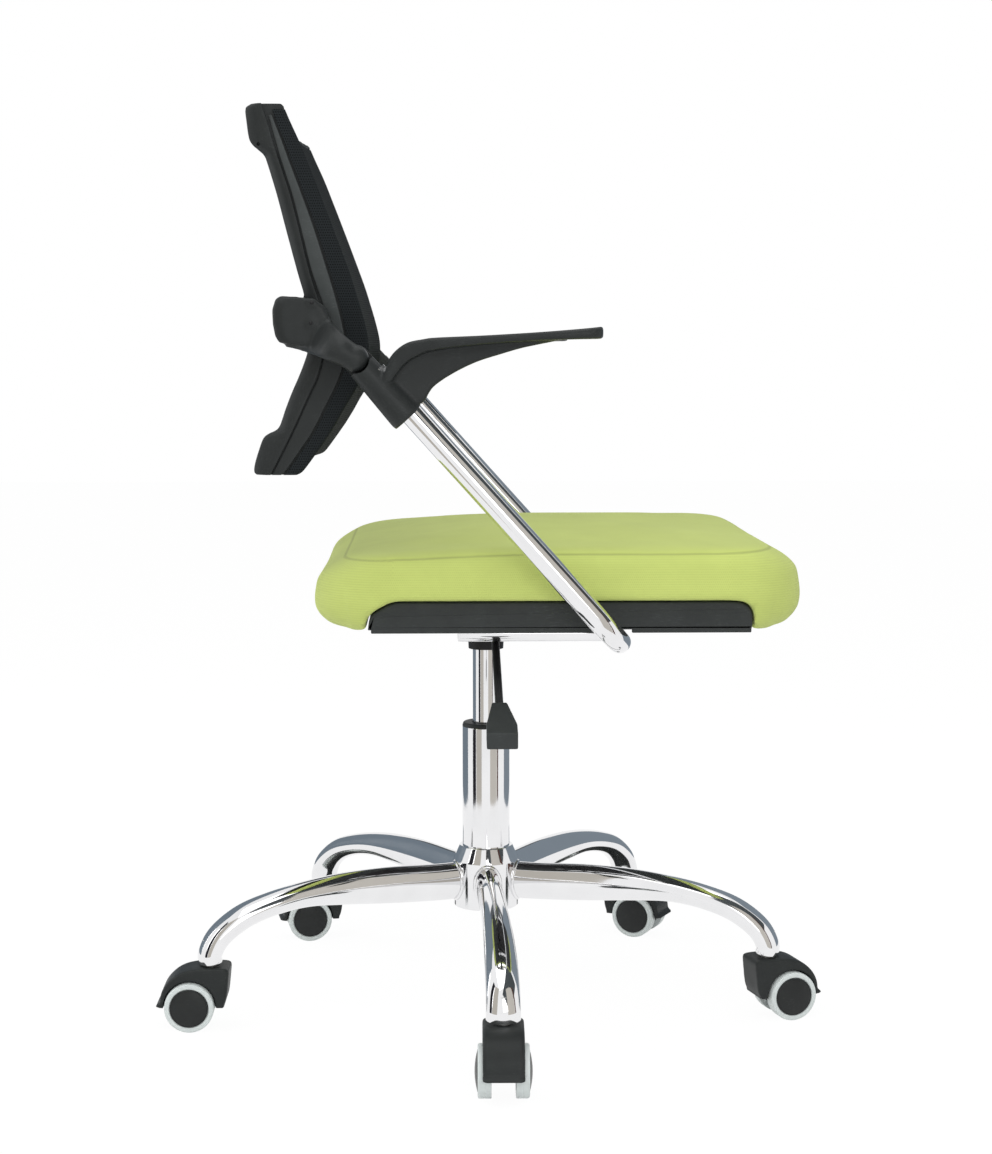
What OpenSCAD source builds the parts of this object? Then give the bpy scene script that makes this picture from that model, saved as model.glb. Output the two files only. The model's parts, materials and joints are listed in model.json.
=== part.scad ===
// Task chair with a sprung reclining back, on a five-leg base with twin-wheel casters
// Millimetres. +X is forward, +Y is the sitter's left, +Z is up, floor at zero, column on the Z axis

/* [Casters] */
// Diameter of a caster wheel
wheel_d = 50; // [42:1:60]
// Width of one tyre
tyre_w = 12.7; // [9:0.1:16]
// Gap between the two wheels of a caster
wheel_gap = 22.6; // [20:0.1:28]
// Diameter of the wheel's black centre
core_d = 38.6; // [30:0.2:42]
// Height of the dome on a wheel's centre
cap_bulge = 2.8; // [1:0.1:5]
// Distance from the swivel axis to the axle
trail = 20; // [17:0.5:24]
// Width of the hood
hood_w = 39; // [34:0.5:44]
// Height of the hood's top above the floor
hood_top_z = 64; // [61:0.5:70]
// Height of the hood's lower edge above the floor
hood_low_z = 23; // [18:0.5:30]
// Thickness of the hood's tail
hood_skin = 3.4; // [2:0.1:5]
// Diameter of the caster stem
stem_d = 11; // [10:0.5:12]
// Depth of the stem in the leg
stem_grip = 21; // [16:0.5:22]
// Diameter of the axle
axle_d = 6; // [5:0.5:8]
// Trail directions of the casters at rest
caster_turns = [-91, 16, -28, 190, 180];

/* [Base] */
// Radius of the circle of caster stems
base_r = 300; // [270:1:330]
// Turn of the base at rest
base_turn = 1.75; // [0:0.25:10]
// Diameter of the hub
hub_d = 69; // [64:1:80]
// Height of the hub's lower edge above the floor
hub_z = 99; // [95:1:101]
// Height of the hub's cylinder
hub_h = 50; // [44:1:60]
// Height of the hub's sloped shoulder
shoulder_h = 15; // [8:1:20]
// Height of a leg's section at the hub
leg_root_h = 39; // [34:1:42]
// Width of a leg's section at the hub
leg_root_w = 27; // [22:1:32]
// Length of a leg's section at its end, along the leg
leg_end_l = 24; // [22:0.5:28]
// Width of a leg's section at its end
leg_end_w = 33; // [26:1:36]
// Wall of a leg
leg_wall = 2; // [1.5:0.1:3]
// Height of a leg's centre line at the hub
leg_root_z = 127; // [122:1:130]
// Gap between the hood and the leg's end
leg_gap = 3; // [2.5:0.1:5]

/* [Column] */
// Diameter of the outer column
column_d = 50; // [46:0.5:54]
// Wall of the outer column
column_wall = 2.5; // [1.5:0.1:4]
// Height of the column's lower end above the floor
column_z = 103; // [102:0.5:105]
// Length of the column
column_l = 188; // [180:1:200]
// Thickness of the column's floor
column_floor = 3; // [2:0.5:5]
// Height of the guide bush's rim over the column
bush_rim = 4; // [2:0.5:6]
// Length of the guide bush inside the column
bush_l = 76; // [50:1:90]

/* [Gas spring] */
// Diameter of the pressure tube
spring_d = 28; // [26:0.5:30]
// Wall of the pressure tube
spring_wall = 1.5; // [1:0.1:2]
// Height of the pressure tube's lower end at full height
spring_z = 203; // [201:1:206]
// Length of the pressure tube
spring_l = 206; // [200:1:208]
// Diameter of the piston rod
rod_d = 10; // [8:0.5:12]
// Height of the crimped rod guide
rod_guide_h = 15; // [10:1:18]
// Height of the valve head
valve_h = 14; // [10:1:18]
// Height travel of the seat
lift = 75; // [50:1:75]
// Diameter of the release pin
pin_d = 10; // [8:0.5:11]
// Height of the release pin over the pressure tube
pin_proud = 5.6; // [4:0.1:7]

/* [Seat carrier] */
// Thickness of the seat plate
plate_t = 3; // [2:0.5:4]
// Width of the seat plate
plate_w = 350; // [340:1:380]
// Rear edge of the seat plate
plate_rear = 50; // [45:1:70]
// Diameter of the taper socket at the plate
socket_top_d = 41; // [36:0.5:46]
// Diameter of the taper socket at its lower end
socket_low_d = 36.6; // [34:0.2:40]
// Height of the taper socket
socket_h = 45; // [38:1:45]
// Height of a seat rail
rail_h = 16; // [12:0.5:18]
// Width of a seat rail
rail_w = 24; // [20:0.5:30]
// Rear end of the seat rails
rail_rear = 31; // [20:1:45]
// Distance of a seat rail from the middle
rail_y = 160; // [140:1:165]
// Wall of a seat rail
rail_wall = 1.5; // [1:0.1:2.5]
// Diameter of the seat screws
screw_d = 6; // [4:0.5:8]
// Spread of the seat screws across the seat
screw_spread = 220; // [180:1:240]

/* [Frame tube] */
// Diameter of the frame tube
frame_d = 22; // [20:0.5:25]
// Wall of the frame tube
frame_wall = 1.8; // [1.2:0.1:2.5]
// Distance of the tube's arms from the middle
frame_y = 262; // [256:1:280]
// Forward place of the cross tube
cross_x = 121; // [115:1:130]
// Slope of the tube's arms
frame_slope = 48; // [46:0.5:50]
// Bend radius of the frame tube
bend_r = 36; // [30:1:45]
// Distance from the cross tube to the recline pivot along the arm
pivot_reach = 363; // [350:1:380]
// Offset of the recline pivot below the arm's line
pivot_drop = 5; // [4:0.5:7]

/* [Seat] */
// Height of the seat shell's underside
shell_z = 421.6; // [415:0.2:430]
// Rear end of the seat shell
shell_rear = 116.6; // [105:0.2:120]
// Front end of the seat shell
shell_front = 247; // [235:1:255]
// Height of the seat shell
shell_h = 26.8; // [22:0.2:30]
// Length of the rounding at the seat shell's rear end
shell_round = 99.2; // [80:0.2:110]
// Width of the seat shell
shell_w = 454; // [430:1:460]
// Wall of the seat shell
shell_wall = 3; // [2:0.5:4]
// Thickness of the seat board
board_t = 10; // [8:0.5:12]
// Depth of the cushion, front to rear
cushion_l = 473.6; // [430:0.4:490]
// Width of the cushion
cushion_w = 480; // [460:1:490]
// Height of the cushion at its edge
cushion_h = 78.4; // [60:1:90]
// Crown of the cushion
cushion_crown = 12; // [4:0.5:16]
// Radius of the cushion's corners in plan
cushion_corner = 78; // [45:1:90]
// Middle of the cushion, forward of the column
cushion_x = 66; // [55:0.2:75]
// How far the cushion's ends reach below the seat shell
cushion_low = 3; // [0:0.5:6]

/* [Armrests] */
// Width of an armrest's pad
pad_w = 50; // [40:1:56]
// Length of an armrest's pad
pad_l = 202; // [180:1:230]
// Front tip of the armrest, forward of the column
pad_tip_x = 100.7; // [90:0.5:120]
// Height of the armrest's top at the tip
pad_tip_z = 706.5; // [700:0.5:712]
// Thickness of the gusset under the pad
gusset_t = 15; // [10:0.5:20]
// Diameter of the sleeve at its lower end
sleeve_d = 32; // [30:0.5:36]
// Diameter of the sleeve at the pivot
sleeve_top_d = 26; // [24:0.5:28]
// Length of the sleeve
sleeve_l = 72; // [62:1:80]
// Diameter of the pivot pin
pivot_d = 9; // [7:0.5:10]

/* [Back] */
// Height of the back's lower edge above the floor
back_z = 567.5; // [560:0.5:575]
// Height of the back
back_h = 344.5; // [330:0.5:360]
// Width of the back
back_w = 420; // [400:1:430]
// Forward place of the back's foremost line
back_front = -102.5; // [-110:0.5:-98]
// Depth that the back's outline leans through
back_lean = 125; // [115:1:135]
// Bow of the back across its width
back_bow = 12; // [6:0.5:16]
// Thickness of the mesh cover
mesh_t = 2.4; // [1.5:0.1:4]
// Depth of the mesh cover's sides
mesh_side = 15.5; // [12:0.5:17]
// Width of a side rail of the back frame
back_rail_w = 27; // [20:0.5:36]
// Height of the cross bar of the yoke
yoke_h = 43; // [38:0.5:48]
// Depth of the cross bar of the yoke
yoke_t = 21; // [16:0.5:22]
// Width of a neck at the pivot
neck_w = 25; // [22:0.5:25]

/* [Height lever] */
// Diameter of the lever rod
lever_d = 8; // [6:0.5:9]
// Distance of the lever's pivot from the middle
lever_pivot_y = 32; // [28:0.5:36]
// Forward place of the lever
lever_x = 7.5; // [5:0.5:9]
// Distance of the paddle's inner end from the middle
paddle_y = 233; // [225:1:245]
// Slope of the lever rod
lever_slope = 17.5; // [15:0.5:20]
// Length of the paddle
paddle_l = 56; // [45:1:65]
// Width of the paddle's outer edge
paddle_w = 29; // [24:0.5:34]

/* [Hidden] */
// Running clearance of shafts in bores
fit_gap = 0.05;
// Clearance of pieces that lie on each other
seat_gap = 0.2;
// Clearance of curved faces that pass each other
pass_gap = 0.5;
// Overrun of all cuts
over = 2;
$fn = 64;
hull_fn = 32;

leg_numbers = [1, 2, 3, 4, 5];
function leg_angle(n) = -90 + base_turn + 72 * (n - 1);

// Derived places of the casters
wheel_r = wheel_d / 2;
tyre_in = wheel_gap / 2;
tyre_out = tyre_in + tyre_w;
tyre_round = tyre_w * 0.36;
web_w = wheel_gap - 4 * seat_gap;
wheel_well = wheel_r + hood_skin * 0.44;
collar_h = leg_gap - seat_gap;
collar_d = stem_d * 1.6;
leg_end_z = hood_top_z + leg_gap;
stem_low_z = hood_low_z + stem_d;

// Derived places of the column and the gas spring
hub_r = hub_d / 2;
column_r = column_d / 2;
column_in_r = column_r - column_wall;
column_top_z = column_z + column_l;
rod_r = rod_d / 2;
spring_r = spring_d / 2;
spring_in_r = spring_r - spring_wall;
spring_top_z = spring_z + spring_l;
piston_h = rod_d * 1.2;
washer_t = column_floor / 2;
bearing_z = column_z + column_floor + seat_gap;
clip_t = (column_z - hub_z) * 0.4;
pin_r = pin_d / 2;

// Derived places under the seat
plate_z = shell_z - seat_gap - plate_t;
socket_z = plate_z - socket_h;
frame_r = frame_d / 2;
cross_z = shell_z - seat_gap - frame_r - fit_gap;
plate_front = cross_x - frame_r - seat_gap;
lever_pivot_z = plate_z - lever_d * 0.92;
screw_rear = plate_rear * 0.6;
screw_front = plate_front * 0.78;
head_h = screw_d * 0.6;
board_z = shell_z + shell_h - board_t;

// Direction of the tube's arms, upwards to the rear, and its normal
arm_dir = [-cos(frame_slope), 0, sin(frame_slope)];
arm_normal = [-sin(frame_slope), 0, -cos(frame_slope)];
pivot = [cross_x, 0, cross_z] + pivot_reach * arm_dir + pivot_drop * arm_normal;
barrel_r = neck_w / 2;
sleeve_foot = pivot - sleeve_l * arm_dir;

// Points along a smooth curve through rows of values
function smooth_at(a, b, c, d, t) =
    0.5 * (2 * b + (c - a) * t + (2 * a - 5 * b + 4 * c - d) * t * t
    + (3 * b - a - 3 * c + d) * t * t * t);
function row_at(rows, i) = rows[max(0, min(len(rows) - 1, i))];
function smooth_rows(rows, steps) = [
    for (i = [0 : len(rows) - 2], k = [0 : steps - 1])
        smooth_at(row_at(rows, i - 1), rows[i], rows[i + 1], row_at(rows, i + 2), k / steps),
    rows[len(rows) - 1]];
// Outline points from shares of a length and a height
function placed(shares, origin, size) =
    [for (p = shares) [origin[0] + size[0] * p[0], origin[1] + size[1] * p[1]]];

// A closed skin over rings that turn anticlockwise about their direction of travel
module loft(rings) {
    n = len(rings[0]);
    last = (len(rings) - 1) * n;
    points = [for (ring = rings) each ring];
    sides = [for (i = [0 : len(rings) - 2], j = [0 : n - 1])
        let (k = (j + 1) % n, a = i * n)
        each [[a + j, a + n + j, a + n + k], [a + j, a + n + k, a + k]]];
    caps = [[for (j = [0 : n - 1]) j], [for (j = [n - 1 : -1 : 0]) last + j]];
    polyhedron(points, concat(sides, caps));
}

// The same for rings whose first half faces their second half, which is closed with strips
module strip_loft(rings) {
    n = len(rings[0]);
    last = (len(rings) - 1) * n;
    points = [for (ring = rings) each ring];
    sides = [for (i = [0 : len(rings) - 2], j = [0 : n - 1])
        let (k = (j + 1) % n, a = i * n)
        each [[a + j, a + n + j, a + n + k], [a + j, a + n + k, a + k]]];
    caps = [for (i = [0 : n / 2 - 2])
        let (a = i + 1, b = n - 2 - i, c = n - 1 - i)
        each [[i, a, b], [i, b, c], [last + i, last + b, last + a], [last + i, last + c, last + b]]];
    polyhedron(points, concat(sides, caps));
}

// A flat outline in the X-Z plane, thick along Y
module slab(outline, thick) {
    rotate([90, 0, 0]) linear_extrude(thick, center = true) polygon(outline);
}

// A rod along Y
module cross_rod(r, l) {
    rotate([90, 0, 0]) cylinder(l, r, r, center = true);
}

module both_sides() {
    children();
    mirror([0, 1, 0]) children();
}

// Centre line of a leg: radius share, height share, section height share, section width share
leg_shares = [
    [0.07, 1.00, 1.00, 0.00], [0.20, 1.00, 1.00, 0.00], [0.37, 1.03, 0.96, 0.06],
    [0.53, 1.04, 0.62, 0.15], [0.66, 1.01, 0.20, 0.32], [0.78, 0.90, 0.04, 0.55],
    [0.885, 0.72, 0.05, 0.80], [0.965, 0.44, 0.03, 0.95], [1.00, 0.16, 0.0, 1.00],
    [1.00, 0.00, 0.0, 1.00]];
leg_steps = 2;
leg_sides = 20;
function leg_rows() = smooth_rows([for (s = leg_shares) [
    base_r * s[0],
    leg_end_z + (leg_root_z - leg_end_z) * s[1],
    leg_end_l + (leg_root_h - leg_end_l) * s[2],
    leg_root_w + (leg_end_w - leg_root_w) * s[3]]], leg_steps);
function leg_ring(rows, i, wall, sides) =
    let (a = row_at(rows, i - 1), b = row_at(rows, i + 1), p = rows[i],
         slope = i == len(rows) - 1 ? -90 : i == 0 ? 0 : atan2(b[1] - a[1], b[0] - a[0]))
    [for (j = [0 : sides - 1])
        let (t = 360 * j / sides, u = (p[2] / 2 - wall) * sin(t), v = (p[3] / 2 - wall) * cos(t))
        [p[0] - u * sin(slope), v, p[1] + u * cos(slope)]];
module leg_form(wall, sides) {
    rows = leg_rows();
    loft([for (i = [0 : len(rows) - 1]) leg_ring(rows, i, wall, sides)]);
}
module base_leg(n) {
    color("gainsboro") rotate([0, 0, leg_angle(n)]) difference() {
        leg_form(0, leg_sides);
        cylinder(leg_root_z * 2, hub_r + fit_gap, hub_r + fit_gap);
        translate([base_r, 0, leg_end_z]) socket_body(fit_gap, over);
        intersection() {
            leg_form(leg_wall, leg_sides - 8);
            translate([0, -leg_end_w, leg_end_z]) cube([base_r * 2, leg_end_w * 2, leg_root_z]);
        }
    }
}
// Plug in the end of a leg
module socket_body(grow, below) {
    a = leg_end_l / 2 - leg_wall + grow;
    b = leg_end_w / 2 - leg_wall + grow;
    translate([0, 0, -below]) linear_extrude(leg_wall + below)
        polygon([for (k = [0 : hull_fn - 1]) [a * cos(360 * k / hull_fn), b * sin(360 * k / hull_fn)]]);
    cylinder(stem_grip + leg_wall, stem_d * 0.68 + grow, stem_d * 0.68 + grow);
}
module leg_sockets() {
    color("silver") for (n = leg_numbers) rotate([0, 0, leg_angle(n)])
        translate([base_r, 0, leg_end_z]) difference() {
            socket_body(0, 0);
            translate([0, 0, -over])
                cylinder(stem_grip + over, stem_d / 2 + fit_gap, stem_d / 2 + fit_gap);
        }
}
module caster_stems() {
    color("silver") for (n = leg_numbers) rotate([0, 0, leg_angle(n)]) translate([base_r, 0, 0]) {
        translate([0, 0, stem_low_z])
            cylinder(leg_end_z + stem_grip - seat_gap - stem_low_z, stem_d / 2, stem_d / 2);
        translate([0, 0, hood_top_z + seat_gap / 2]) cylinder(collar_h, collar_d / 2, collar_d / 2);
    }
}
module base_hub() {
    color("gainsboro") translate([0, 0, hub_z]) rotate_extrude() difference() {
        polygon([[0, 0], [hub_r, 0], [hub_r, hub_h],
            [column_r + shoulder_h * 0.2, hub_h + shoulder_h], [0, hub_h + shoulder_h]]);
        translate([0, -over]) square([column_r + fit_gap, hub_h + shoulder_h + over * 2]);
    }
}
module column_tube() {
    color("gainsboro") translate([0, 0, column_z]) difference() {
        cylinder(column_l, column_r, column_r);
        translate([0, 0, column_floor]) cylinder(column_l, column_in_r, column_in_r);
        translate([0, 0, -over]) cylinder(column_floor + over * 2, rod_r + fit_gap, rod_r + fit_gap);
    }
}
module guide_bush() {
    color("dimgray") translate([0, 0, column_top_z]) difference() {
        union() {
            translate([0, 0, -bush_l]) cylinder(bush_l, column_in_r - fit_gap, column_in_r - fit_gap);
            cylinder(bush_rim, column_r, column_r - bush_rim * 0.3);
        }
        translate([0, 0, -bush_l - over])
            cylinder(bush_l + bush_rim + over * 2, spring_r + fit_gap, spring_r + fit_gap);
    }
}

// Gas spring
module piston_rod() {
    color("silver") {
        translate([0, 0, hub_z]) cylinder(spring_z + rod_guide_h - hub_z + piston_h, rod_r, rod_r);
        translate([0, 0, spring_z + rod_guide_h + seat_gap])
            cylinder(piston_h, spring_in_r - fit_gap, spring_in_r - fit_gap);
    }
}
module bearing_ring(z, h, r_out) {
    translate([0, 0, z]) difference() {
        cylinder(h, r_out, r_out);
        translate([0, 0, -over]) cylinder(h + over * 2, rod_r + fit_gap, rod_r + fit_gap);
    }
}
module thrust_bearing() {
    ball_z = bearing_z + washer_t;
    buffer_z = ball_z + rod_r + washer_t;
    color("silver") {
        bearing_ring(bearing_z, washer_t - fit_gap, spring_r);
        bearing_ring(ball_z, rod_r - fit_gap, spring_in_r);
        bearing_ring(ball_z + rod_r, washer_t - fit_gap, spring_r);
        bearing_ring(buffer_z, rod_d, spring_in_r);
        bearing_ring(column_z - seat_gap - clip_t, clip_t, rod_d);
    }
}
module pressure_tube() {
    color("silver") translate([0, 0, spring_z]) difference() {
        cylinder(spring_l, spring_r, spring_r);
        translate([0, 0, rod_guide_h])
            cylinder(spring_l - rod_guide_h - valve_h, spring_in_r, spring_in_r);
        translate([0, 0, -over]) cylinder(rod_guide_h + over * 2, rod_r + fit_gap, rod_r + fit_gap);
        translate([0, 0, spring_l - valve_h - over])
            cylinder(valve_h + over * 2, pin_r + fit_gap, pin_r + fit_gap);
    }
}
module release_pin() {
    flange_z = spring_top_z - valve_h - seat_gap - washer_t;
    color("silver") {
        translate([0, 0, flange_z])
            cylinder(spring_top_z + pin_proud - pin_r - flange_z, pin_r, pin_r);
        translate([0, 0, spring_top_z + pin_proud - pin_r]) sphere(pin_r);
        translate([0, 0, flange_z]) cylinder(washer_t, pin_r * 1.6, pin_r * 1.6);
    }
}

// Seat plate with the taper socket and the lever's ears
module seat_plate() {
    ear_gap = lever_d + 4 * seat_gap;
    ear_h = lever_d * 1.5;
    color("dimgray") difference() {
        union() {
            translate([-plate_rear, -plate_w / 2, plate_z])
                cube([plate_rear + plate_front, plate_w, plate_t]);
            translate([0, 0, socket_z]) cylinder(socket_h + fit_gap, socket_low_d / 2, socket_top_d / 2);
            for (side = [-1, 1]) translate([
                lever_x + side * (ear_gap + plate_t) / 2 - plate_t / 2,
                -lever_pivot_y - lever_d * 0.8, plate_z - ear_h])
                cube([plate_t, lever_d * 1.6, ear_h + fit_gap]);
        }
        translate([0, 0, socket_z - over])
            cylinder(socket_h + plate_t + over * 2, spring_r + fit_gap, spring_r + fit_gap);
        translate([lever_x, -lever_pivot_y, lever_pivot_z]) rotate([0, 90, 0])
            cylinder(ear_gap * 3, lever_d * 0.3 + fit_gap, lever_d * 0.3 + fit_gap, center = true);
        translate([lever_x - ear_gap, -socket_top_d * 0.65, spring_top_z + seat_gap * 3])
            cube([ear_gap * 1.5, socket_top_d * 0.6, plate_z - spring_top_z]);
        screw_places() cylinder(plate_t * 3, screw_d / 2 + seat_gap, screw_d / 2 + seat_gap, center = true);
    }
}
module screw_places() {
    for (x = [-screw_rear, screw_front], side = [-1, 1])
        translate([x, side * screw_spread / 2, plate_z + plate_t / 2]) children();
}
module seat_screws() {
    shank = board_z + board_t * 0.8 - plate_z - plate_t / 2;
    color("silver") screw_places() {
        cylinder(shank, screw_d / 2, screw_d / 2);
        translate([0, 0, -plate_t / 2 - fit_gap]) cylinder(plate_t, screw_d / 2, screw_d / 2);
        translate([0, 0, -plate_t / 2 - fit_gap - head_h]) cylinder(head_h, screw_d * 0.9, screw_d * 0.9);
    }
}
module rail_section(wall) {
    h = rail_h - 2 * wall;
    w = rail_w - 2 * wall;
    square([h, w - h], center = true);
    for (side = [-1, 1]) translate([0, side * (w - h) / 2]) circle(h / 2);
}
module seat_rails() {
    color("gainsboro") difference() {
        for (side = [-1, 1]) translate([-rail_rear, side * rail_y, plate_z - seat_gap / 2 - rail_h / 2])
            rotate([0, 90, 0]) linear_extrude(rail_rear + cross_x) difference() {
                rail_section(0);
                rail_section(rail_wall);
            }
        translate([cross_x, 0, cross_z]) cross_rod(frame_r + fit_gap, frame_y * 2);
    }
}

// One tube bent to a U: two arms and the cross tube
module frame_path(r, open) {
    translate([cross_x, 0, cross_z]) rotate([0, frame_slope - 180, 0]) {
        cross_rod(r, 2 * (frame_y - bend_r));
        both_sides() {
            translate([bend_r, frame_y - bend_r, 0]) rotate([0, 0, 90])
                rotate_extrude(angle = 90) translate([bend_r, 0]) circle(r);
            translate([bend_r, frame_y, 0]) rotate([0, 90, 0])
                cylinder(pivot_reach - bend_r - barrel_r * 1.7 + open, r, r);
        }
    }
}
module frame_tube() {
    color("gainsboro") difference() {
        frame_path(frame_r, 0);
        frame_path(frame_r - frame_wall, over);
    }
}

// Seat shell, board and cushion
shell_end_shares = [[0, 0], [0.023, 0.47], [0.10, 0.71], [0.23, 0.95], [0.30, 1.0]];
function shell_outline(grow) =
    let (h = shell_h + grow)
    concat(
        [for (s = shell_end_shares) [-shell_rear - grow + shell_round * s[0], shell_z + h * s[1]]],
        [[shell_front - shell_h * 0.9, shell_z + h], [shell_front - shell_h * 0.3 + grow, shell_z + h * 0.93],
         [shell_front + grow, shell_z + h * 0.6], [shell_front + grow, shell_z]]);
module seat_shell() {
    pocket = shell_h - shell_wall;
    color("dimgray") difference() {
        slab(shell_outline(0), shell_w);
        translate([-shell_rear * 0.72, -shell_w / 2 + shell_wall, shell_z + shell_wall])
            cube([shell_rear * 0.72 + shell_front - shell_wall * 2, shell_w - 2 * shell_wall, pocket + over]);
        screw_places() cylinder(shell_wall * 4, screw_d / 2 + seat_gap, screw_d / 2 + seat_gap, center = true);
    }
    color("dimgray") screw_places()
        translate([0, 0, shell_z + shell_wall - seat_gap - plate_z - plate_t / 2]) difference() {
            cylinder(board_z - shell_z - shell_wall, screw_d, screw_d);
            translate([0, 0, -over]) cylinder(shell_h, screw_d / 2 + seat_gap, screw_d / 2 + seat_gap);
        }
}
module seat_board() {
    gap = shell_wall + seat_gap;
    color("burlywood") difference() {
        translate([-shell_rear * 0.72 + seat_gap, -shell_w / 2 + gap, board_z])
            cube([shell_rear * 0.72 + shell_front - shell_h * 0.9 - 2 * seat_gap,
                shell_w - 2 * gap, board_t]);
        screw_places() cylinder(shell_h * 2, screw_d / 2 + fit_gap, screw_d / 2 + fit_gap);
    }
}
// Side of the cushion: height share of the edge, inset shares of the corner radius at ends and sides
cushion_side_shares = [
    [0.00, 0.264, 0.32], [0.025, 0.206, 0.25], [0.09, 0.128, 0.14], [0.20, 0.037, 0.05], [0.36, 0.0, 0.0],
    [0.55, 0.015, 0.0], [0.72, 0.05, 0.016], [0.84, 0.17, 0.038], [0.93, 0.32, 0.092], [0.98, 0.43, 0.17],
    [1.00, 0.50, 0.32]];
// Crown of the cushion: rise share, inset share of half the depth
cushion_crown_shares = [[0.20, 0.27], [0.50, 0.42], [0.80, 0.64], [0.96, 0.84]];
// Corner radius of the crown, as a share of its half depth
crown_corner = 0.3;
cushion_rear_drop = cushion_crown * 1.07;
// A quarter of an outline in plan: half lengths, then radii, along X and Y
function plan_point(half, round, q, k, corner_n) =
    let (t = 90 * q + 90 * k / corner_n,
         cx = (q == 0 || q == 3 ? 1 : -1) * (half[0] - round[0]),
         cy = (q < 2 ? 1 : -1) * (half[1] - round[1]))
    [cx + round[0] * cos(t), cy + round[1] * sin(t)];
function plan_ring(half, round, corner_n, side_n) =
    [for (q = [0 : 3]) each concat(
        [for (k = [0 : corner_n]) plan_point(half, round, q, k, corner_n)],
        let (p0 = plan_point(half, round, q, corner_n, corner_n),
             p1 = plan_point(half, round, (q + 1) % 4, 0, corner_n))
        [for (k = [1 : side_n]) p0 + (p1 - p0) * k / (side_n + 1)])];
cushion_half = [cushion_l / 2, cushion_w / 2];
function cushion_levels() = concat(
    [for (s = cushion_side_shares)
        let (inset = cushion_corner * [s[1], s[2]])
        [cushion_h * s[0], cushion_half - inset, [cushion_corner, cushion_corner] - inset]],
    [for (s = cushion_crown_shares)
        let (inset = cushion_half[0] * s[1], r = (cushion_half[0] - inset) * crown_corner)
        [cushion_h + cushion_crown * s[0], cushion_half - [inset, inset], [r, r]]]);
function cushion_point(p, h) =
    let (rear = max(0, -p[0] / cushion_half[0]))
    [cushion_x + p[0], p[1], shell_z - cushion_low + h - cushion_rear_drop * rear * rear * h / cushion_h];
module cushion_form() {
    levels = cushion_levels();
    rings = [for (l = levels) [for (p = plan_ring(l[1], l[2], 6, 4)) cushion_point(p, l[0])]];
    n = len(rings[0]);
    count = len(rings);
    points = concat([for (ring = rings) each ring], [
        cushion_point([0, 0], 0), cushion_point([0, 0], cushion_h + cushion_crown)]);
    sides = [for (i = [0 : count - 2], j = [0 : n - 1])
        let (k = (j + 1) % n, a = i * n)
        each [[a + j, a + n + j, a + n + k], [a + j, a + n + k, a + k]]];
    low = [for (j = [0 : n - 1]) [count * n, j, (j + 1) % n]];
    top = [for (j = [0 : n - 1]) [count * n + 1, (count - 1) * n + (j + 1) % n, (count - 1) * n + j]];
    polyhedron(points, concat(sides, low, top));
}
module seat_cushion() {
    color("yellowgreen") difference() {
        cushion_form();
        slab(concat([[-shell_rear - pass_gap, shell_z - cushion_low - over]], shell_outline(pass_gap),
            [[shell_front + pass_gap, shell_z - cushion_low - over]]), cushion_w + over * 2);
    }
}

// Armrest: pad, gusset, sleeve on the frame tube and cheek with the pivot's bore
pad_shares = [
    [0.00, -0.46], [0.035, -0.265], [0.105, -0.145], [0.19, -0.105], [0.25, -0.092],
    [0.47, -0.072], [0.70, -0.047], [0.89, -0.02], [1.00, 0.00], [1.00, -0.106],
    [0.87, -0.110], [0.66, -0.124], [0.45, -0.150], [0.28, -0.188], [0.19, -0.225],
    [0.11, -0.31], [0.045, -0.46]];
gusset_shares = [
    [0.04, -0.40], [0.12, -0.25], [0.28, -0.15], [0.66, -0.09], [0.85, -0.095],
    [0.65, -0.175], [0.535, -0.235], [0.425, -0.30], [0.315, -0.40], [0.23, -0.51],
    [0.185, -0.635], [0.12, -0.60]];
pad_rise = pad_l * 0.5446;
function pad_outline(shares) =
    placed(shares, [pad_tip_x - pad_l, pad_tip_z], [pad_l, pad_rise]);
module armrest() {
    inner = frame_y - barrel_r - pass_gap;
    cheek_t = frame_r * 0.8;
    difference() {
        union() {
            translate([0, frame_y, 0]) slab(pad_outline(gusset_shares), gusset_t);
            translate([0, frame_y + pad_w * 0.06, 0]) slab(pad_outline(pad_shares), pad_w);
            translate(sleeve_foot + [0, frame_y, 0]) rotate([0, frame_slope - 90, 0])
                cylinder(sleeve_l, sleeve_d / 2, sleeve_top_d / 2);
            translate([pivot[0], inner - cheek_t / 2, pivot[2]]) cross_rod(sleeve_top_d / 2, cheek_t);
            translate(sleeve_foot + [0, inner - cheek_t, 0]) rotate([0, frame_slope - 90, 0])
                translate([-sleeve_top_d / 2, 0, sleeve_l * 0.3])
                cube([sleeve_top_d, cheek_t + barrel_r, sleeve_l * 0.7]);
        }
        // Room for the neck's barrel and for the neck behind it
        translate([pivot[0], inner + pad_w, pivot[2]]) cross_rod(barrel_r + pass_gap * 2, pad_w * 2);
        translate([pivot[0], inner + pad_w, pivot[2]]) rotate([0, frame_slope - 90, 0])
            translate([-pad_w - sleeve_top_d * 0.2, -pad_w, -barrel_r * 0.75]) cube([pad_w * 2, pad_w * 2, pad_w * 2]);
        translate([pivot[0], frame_y, pivot[2]]) cross_rod(pivot_d / 2 + fit_gap, pad_w * 2);
        translate([cross_x, frame_y, cross_z]) rotate([0, frame_slope - 90, 0])
            cylinder(pivot_reach - barrel_r * 1.7 + seat_gap, frame_r + fit_gap, frame_r + fit_gap);
    }
}
module pivot_pins() {
    inner = frame_y - barrel_r - pass_gap - frame_r * 0.7;
    outer = frame_y + neck_w * 0.28;
    color("silver") both_sides()
        translate([pivot[0], (inner + outer) / 2, pivot[2]]) cross_rod(pivot_d / 2, outer - inner);
}

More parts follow.
